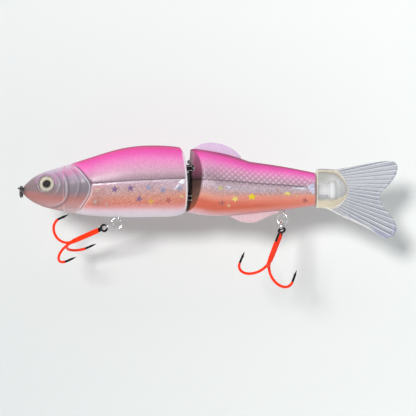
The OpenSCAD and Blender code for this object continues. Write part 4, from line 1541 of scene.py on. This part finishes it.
def bulb_section(x, z):
    """Height within the bulb, from -1 to 1, and its half thickness there."""
    at = np.minimum(x, BULB_END)
    top, low = along(BULB_BACK, at), along(BULB_BELLY, at)
    q = (z - (top + low) / 2) / np.maximum((top - low) / 2, 1e-3)
    return q, along(BULB_SIDE, at) * np.sqrt(np.clip(1 - q**2, 0, 1) * (x < BULB_END))


def fin_rays(x, z, q):
    """Phase across the moulded rays, and how far and how strongly they show."""
    turn = np.degrees(np.arctan2(z - RAY_FROM[1], x - RAY_FROM[0]))
    phase = (turn - RAY_TURN[0]) / (RAY_TURN[1] - RAY_TURN[0]) * RAYS
    reach = np.where(x < BULB_END, eased((np.abs(q) - 1.02) / 0.22), 1.0) * eased((x - 146) / 4)
    keen = np.interp(phase + 0.5, np.arange(RAYS + 4), rng.uniform(0.45, 1.15, RAYS + 4))
    return phase, reach, keen


def tail_thickness(x, bulb, mark, reach, keen, near):
    """Half thickness of bulb and fan together."""
    fan = 1.1 - 0.62 * eased((x - 141) / 34)
    rib = bell(mark, 0.2) + bell(mark - 1, 0.2)
    fan = fan + (0.26 * rib - 0.16 * bell(mark - 0.3, 0.1)) * reach * keen
    lip = 0.16 * bell(near - 5, 2.5) * eased((x - 146) / 5)
    fan = (fan + lip) * (0.35 + 0.65 * eased(near / 3.0))
    fan = np.where(x < 141.2, 0.35, fan)
    root = eased((x - 139) / 3)
    half = np.maximum(bulb, fan * (0.3 + 0.7 * root))
    blend = np.clip((bulb - fan) / 0.9 + 0.5, 0, 1)
    return np.clip(half + 0.22 * blend * (1 - blend) * 4 * 0.5, 0.1, 4.4)


def tail_looks(x, z, q, bulb, phase, reach, keen, near, rows):
    """Tone and added density of the clear plastic, with painted shade and highlights on the rays and
    edges.
    """
    mark = phase % 1.0
    # the bulb's outline gets a cream tint of the plastic, brightened past it as a painted highlight
    rim = bell(q - 0.98, 0.16) + bell(q + 0.98, 0.16)
    rim = rim * (x < 152.5) * (x > TAIL_START) + bell(bulb - 0.9, 0.6) * (x > 147) * (x < 153.2)
    cream = eased((np.abs(q) - np.where(q > 0, 0.8, 0.48)) / 0.22) * (bulb > 0.3)
    cream = np.clip(cream * eased((x - 137.9) / 2 + 0.3) + 0.7 * rim, 0, 1)
    in_bulb = eased((bulb - 0.6) / 1.2)
    peg = bell(x - 145.6, 2.6) * bell(z + 0.8, 5.4)
    peg = np.maximum(peg, 0.8 * bell(x - 141.5, 4.0) * bell(z + 0.8, 2.6))
    olive = in_bulb * (0.5 + 0.5 * eased((z + 1) / 6) * eased((151 - x) / 8)) * (1 - 0.6 * peg)
    tone = blend_grid(np.ones(x.shape + (3,)), [((0.56, 0.54, 0.42), olive),
                                                ((1.45, 1.25, 0.86), cream)])
    # painted shade and highlight on each ray: a dark line in the groove beside the rib, and a white
    # line along its crest
    dark = bell(mark - 0.27, 0.1)
    light = bell(mark, 0.09) + bell(mark - 1, 0.09)
    second = bell((phase * 2.6 + 0.3) % 1.0 - 0.5, 0.16)
    tone = tone * (1 - 0.66 * (dark * reach * keen)[..., None] * np.array([1.0, 1.0, 0.84]))
    tone = tone * (1 - 0.2 * (second * reach)[..., None])
    ridge = eased((z - 8.2) / 0.7) * eased((149 - x) / 4)
    lobe = bell(near - 4, 5) * eased((x - 162) / 4) * eased((-16 - z) / 3)
    # the lower and front edges get a cream tint of the plastic, brightened past it as painted
    # highlights
    lip_low = bell(rows - 3, 2.5) * eased((-7 - z) / 2) * eased((167 - x) / 6) * (x > 141)
    front_line = eased((138.75 - x) / 0.4)
    # the bright lines on the ray crests are painted highlights
    tone = blend_grid(tone, [
        ((1.85, 1.85, 1.72), np.clip(0.85 * light * reach * keen, 0, 1)),
        ((0.5, 0.46, 0.62), 0.8 * ridge), ((0.6, 0.6, 0.78), 0.7 * lobe),
        ((1.7, 1.6, 1.35), 0.7 * lip_low), ((1.6, 1.42, 1.1), 0.8 * front_line)])
    dense = 0.3 * np.clip(rim, 0, 1) + (0.5 * light + 0.45 * dark) * reach * keen + 0.35 * cream
    dense = dense + 0.25 * bell(near - 4, 3) * eased((x - 142) / 4) - 0.05 * in_bulb
    dense = dense - 0.4 * peg
    return tone, dense + 0.4 * ridge + 0.35 * lobe + 0.4 * lip_low + 0.4 * front_line


def soft_tail():
    """The clear tail: a solid bulb that runs out into a ribbed forked fan."""
    nu, nv = 150, 168
    x, z = tail_grid(nu, nv)
    q, bulb = bulb_section(x, z)
    phase, reach, keen = fin_rays(x, z, q)
    mark = phase % 1.0
    rows = np.minimum(np.arange(nv), np.arange(nv)[::-1])[None] * np.ones((nu, 1))
    near = np.minimum(rows, (nu - 1 - np.arange(nu))[:, None] * np.ones((1, nv)))
    half = tail_thickness(x, bulb, mark, reach, keen, near)
    rib = bell(mark, 0.2) + bell(mark - 1, 0.2)
    scallop = 0.2 * (rib - 0.5) * eased((np.linspace(0, 1, nu)[:, None] - 0.93) / 0.07)
    up = np.linspace(0, 1, nv)[None] * np.ones_like(x)
    x = x + np.where((up > 0.04) & (up < 0.96), scallop, 0)
    sides = [np.stack([x, y, z], 2).reshape(-1, 3) for y in (-half, half)]
    obj = mesh_object("soft_tail_skin", np.vstack(sides), leaf_faces(nu, nv), sharp=45)
    tone, dense = tail_looks(x, z, q, bulb, phase, reach, keen, near, rows)
    vertex_colour(obj, "tone", np.vstack([tone.reshape(-1, 3)] * 2))
    vertex_value(obj, "dense", np.concatenate([dense.ravel()] * 2))
    mat = plastic_material("soft_clear", (198, 201, 212), (213, 215, 222), 0.25, 420,
                           alpha=0.5, coat=0.4, attribute="tone")
    assign(obj, mat)
    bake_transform(obj)
    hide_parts("soft_tail")


soft_tail()

# ---------------------------------------------------------------- CAD pieces that stay

STAY = {"line_tie": DARK_WIRE, "front_swivel": SWIVEL_STEEL, "rear_swivel": SWIVEL_STEEL,
        "upper_joint_eye": JOINT_STEEL, "lower_joint_eye": JOINT_STEEL, "joint_pin": JOINT_STEEL,
        "front_ballast": LEAD, "rear_ballast": LEAD, "tail_anchor": PEG}
for node, mat in STAY.items():
    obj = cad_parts[node]
    for i in range(len(obj.material_slots)):
        obj.material_slots[i].material = mat
    if not obj.material_slots:
        obj.data.materials.append(mat)
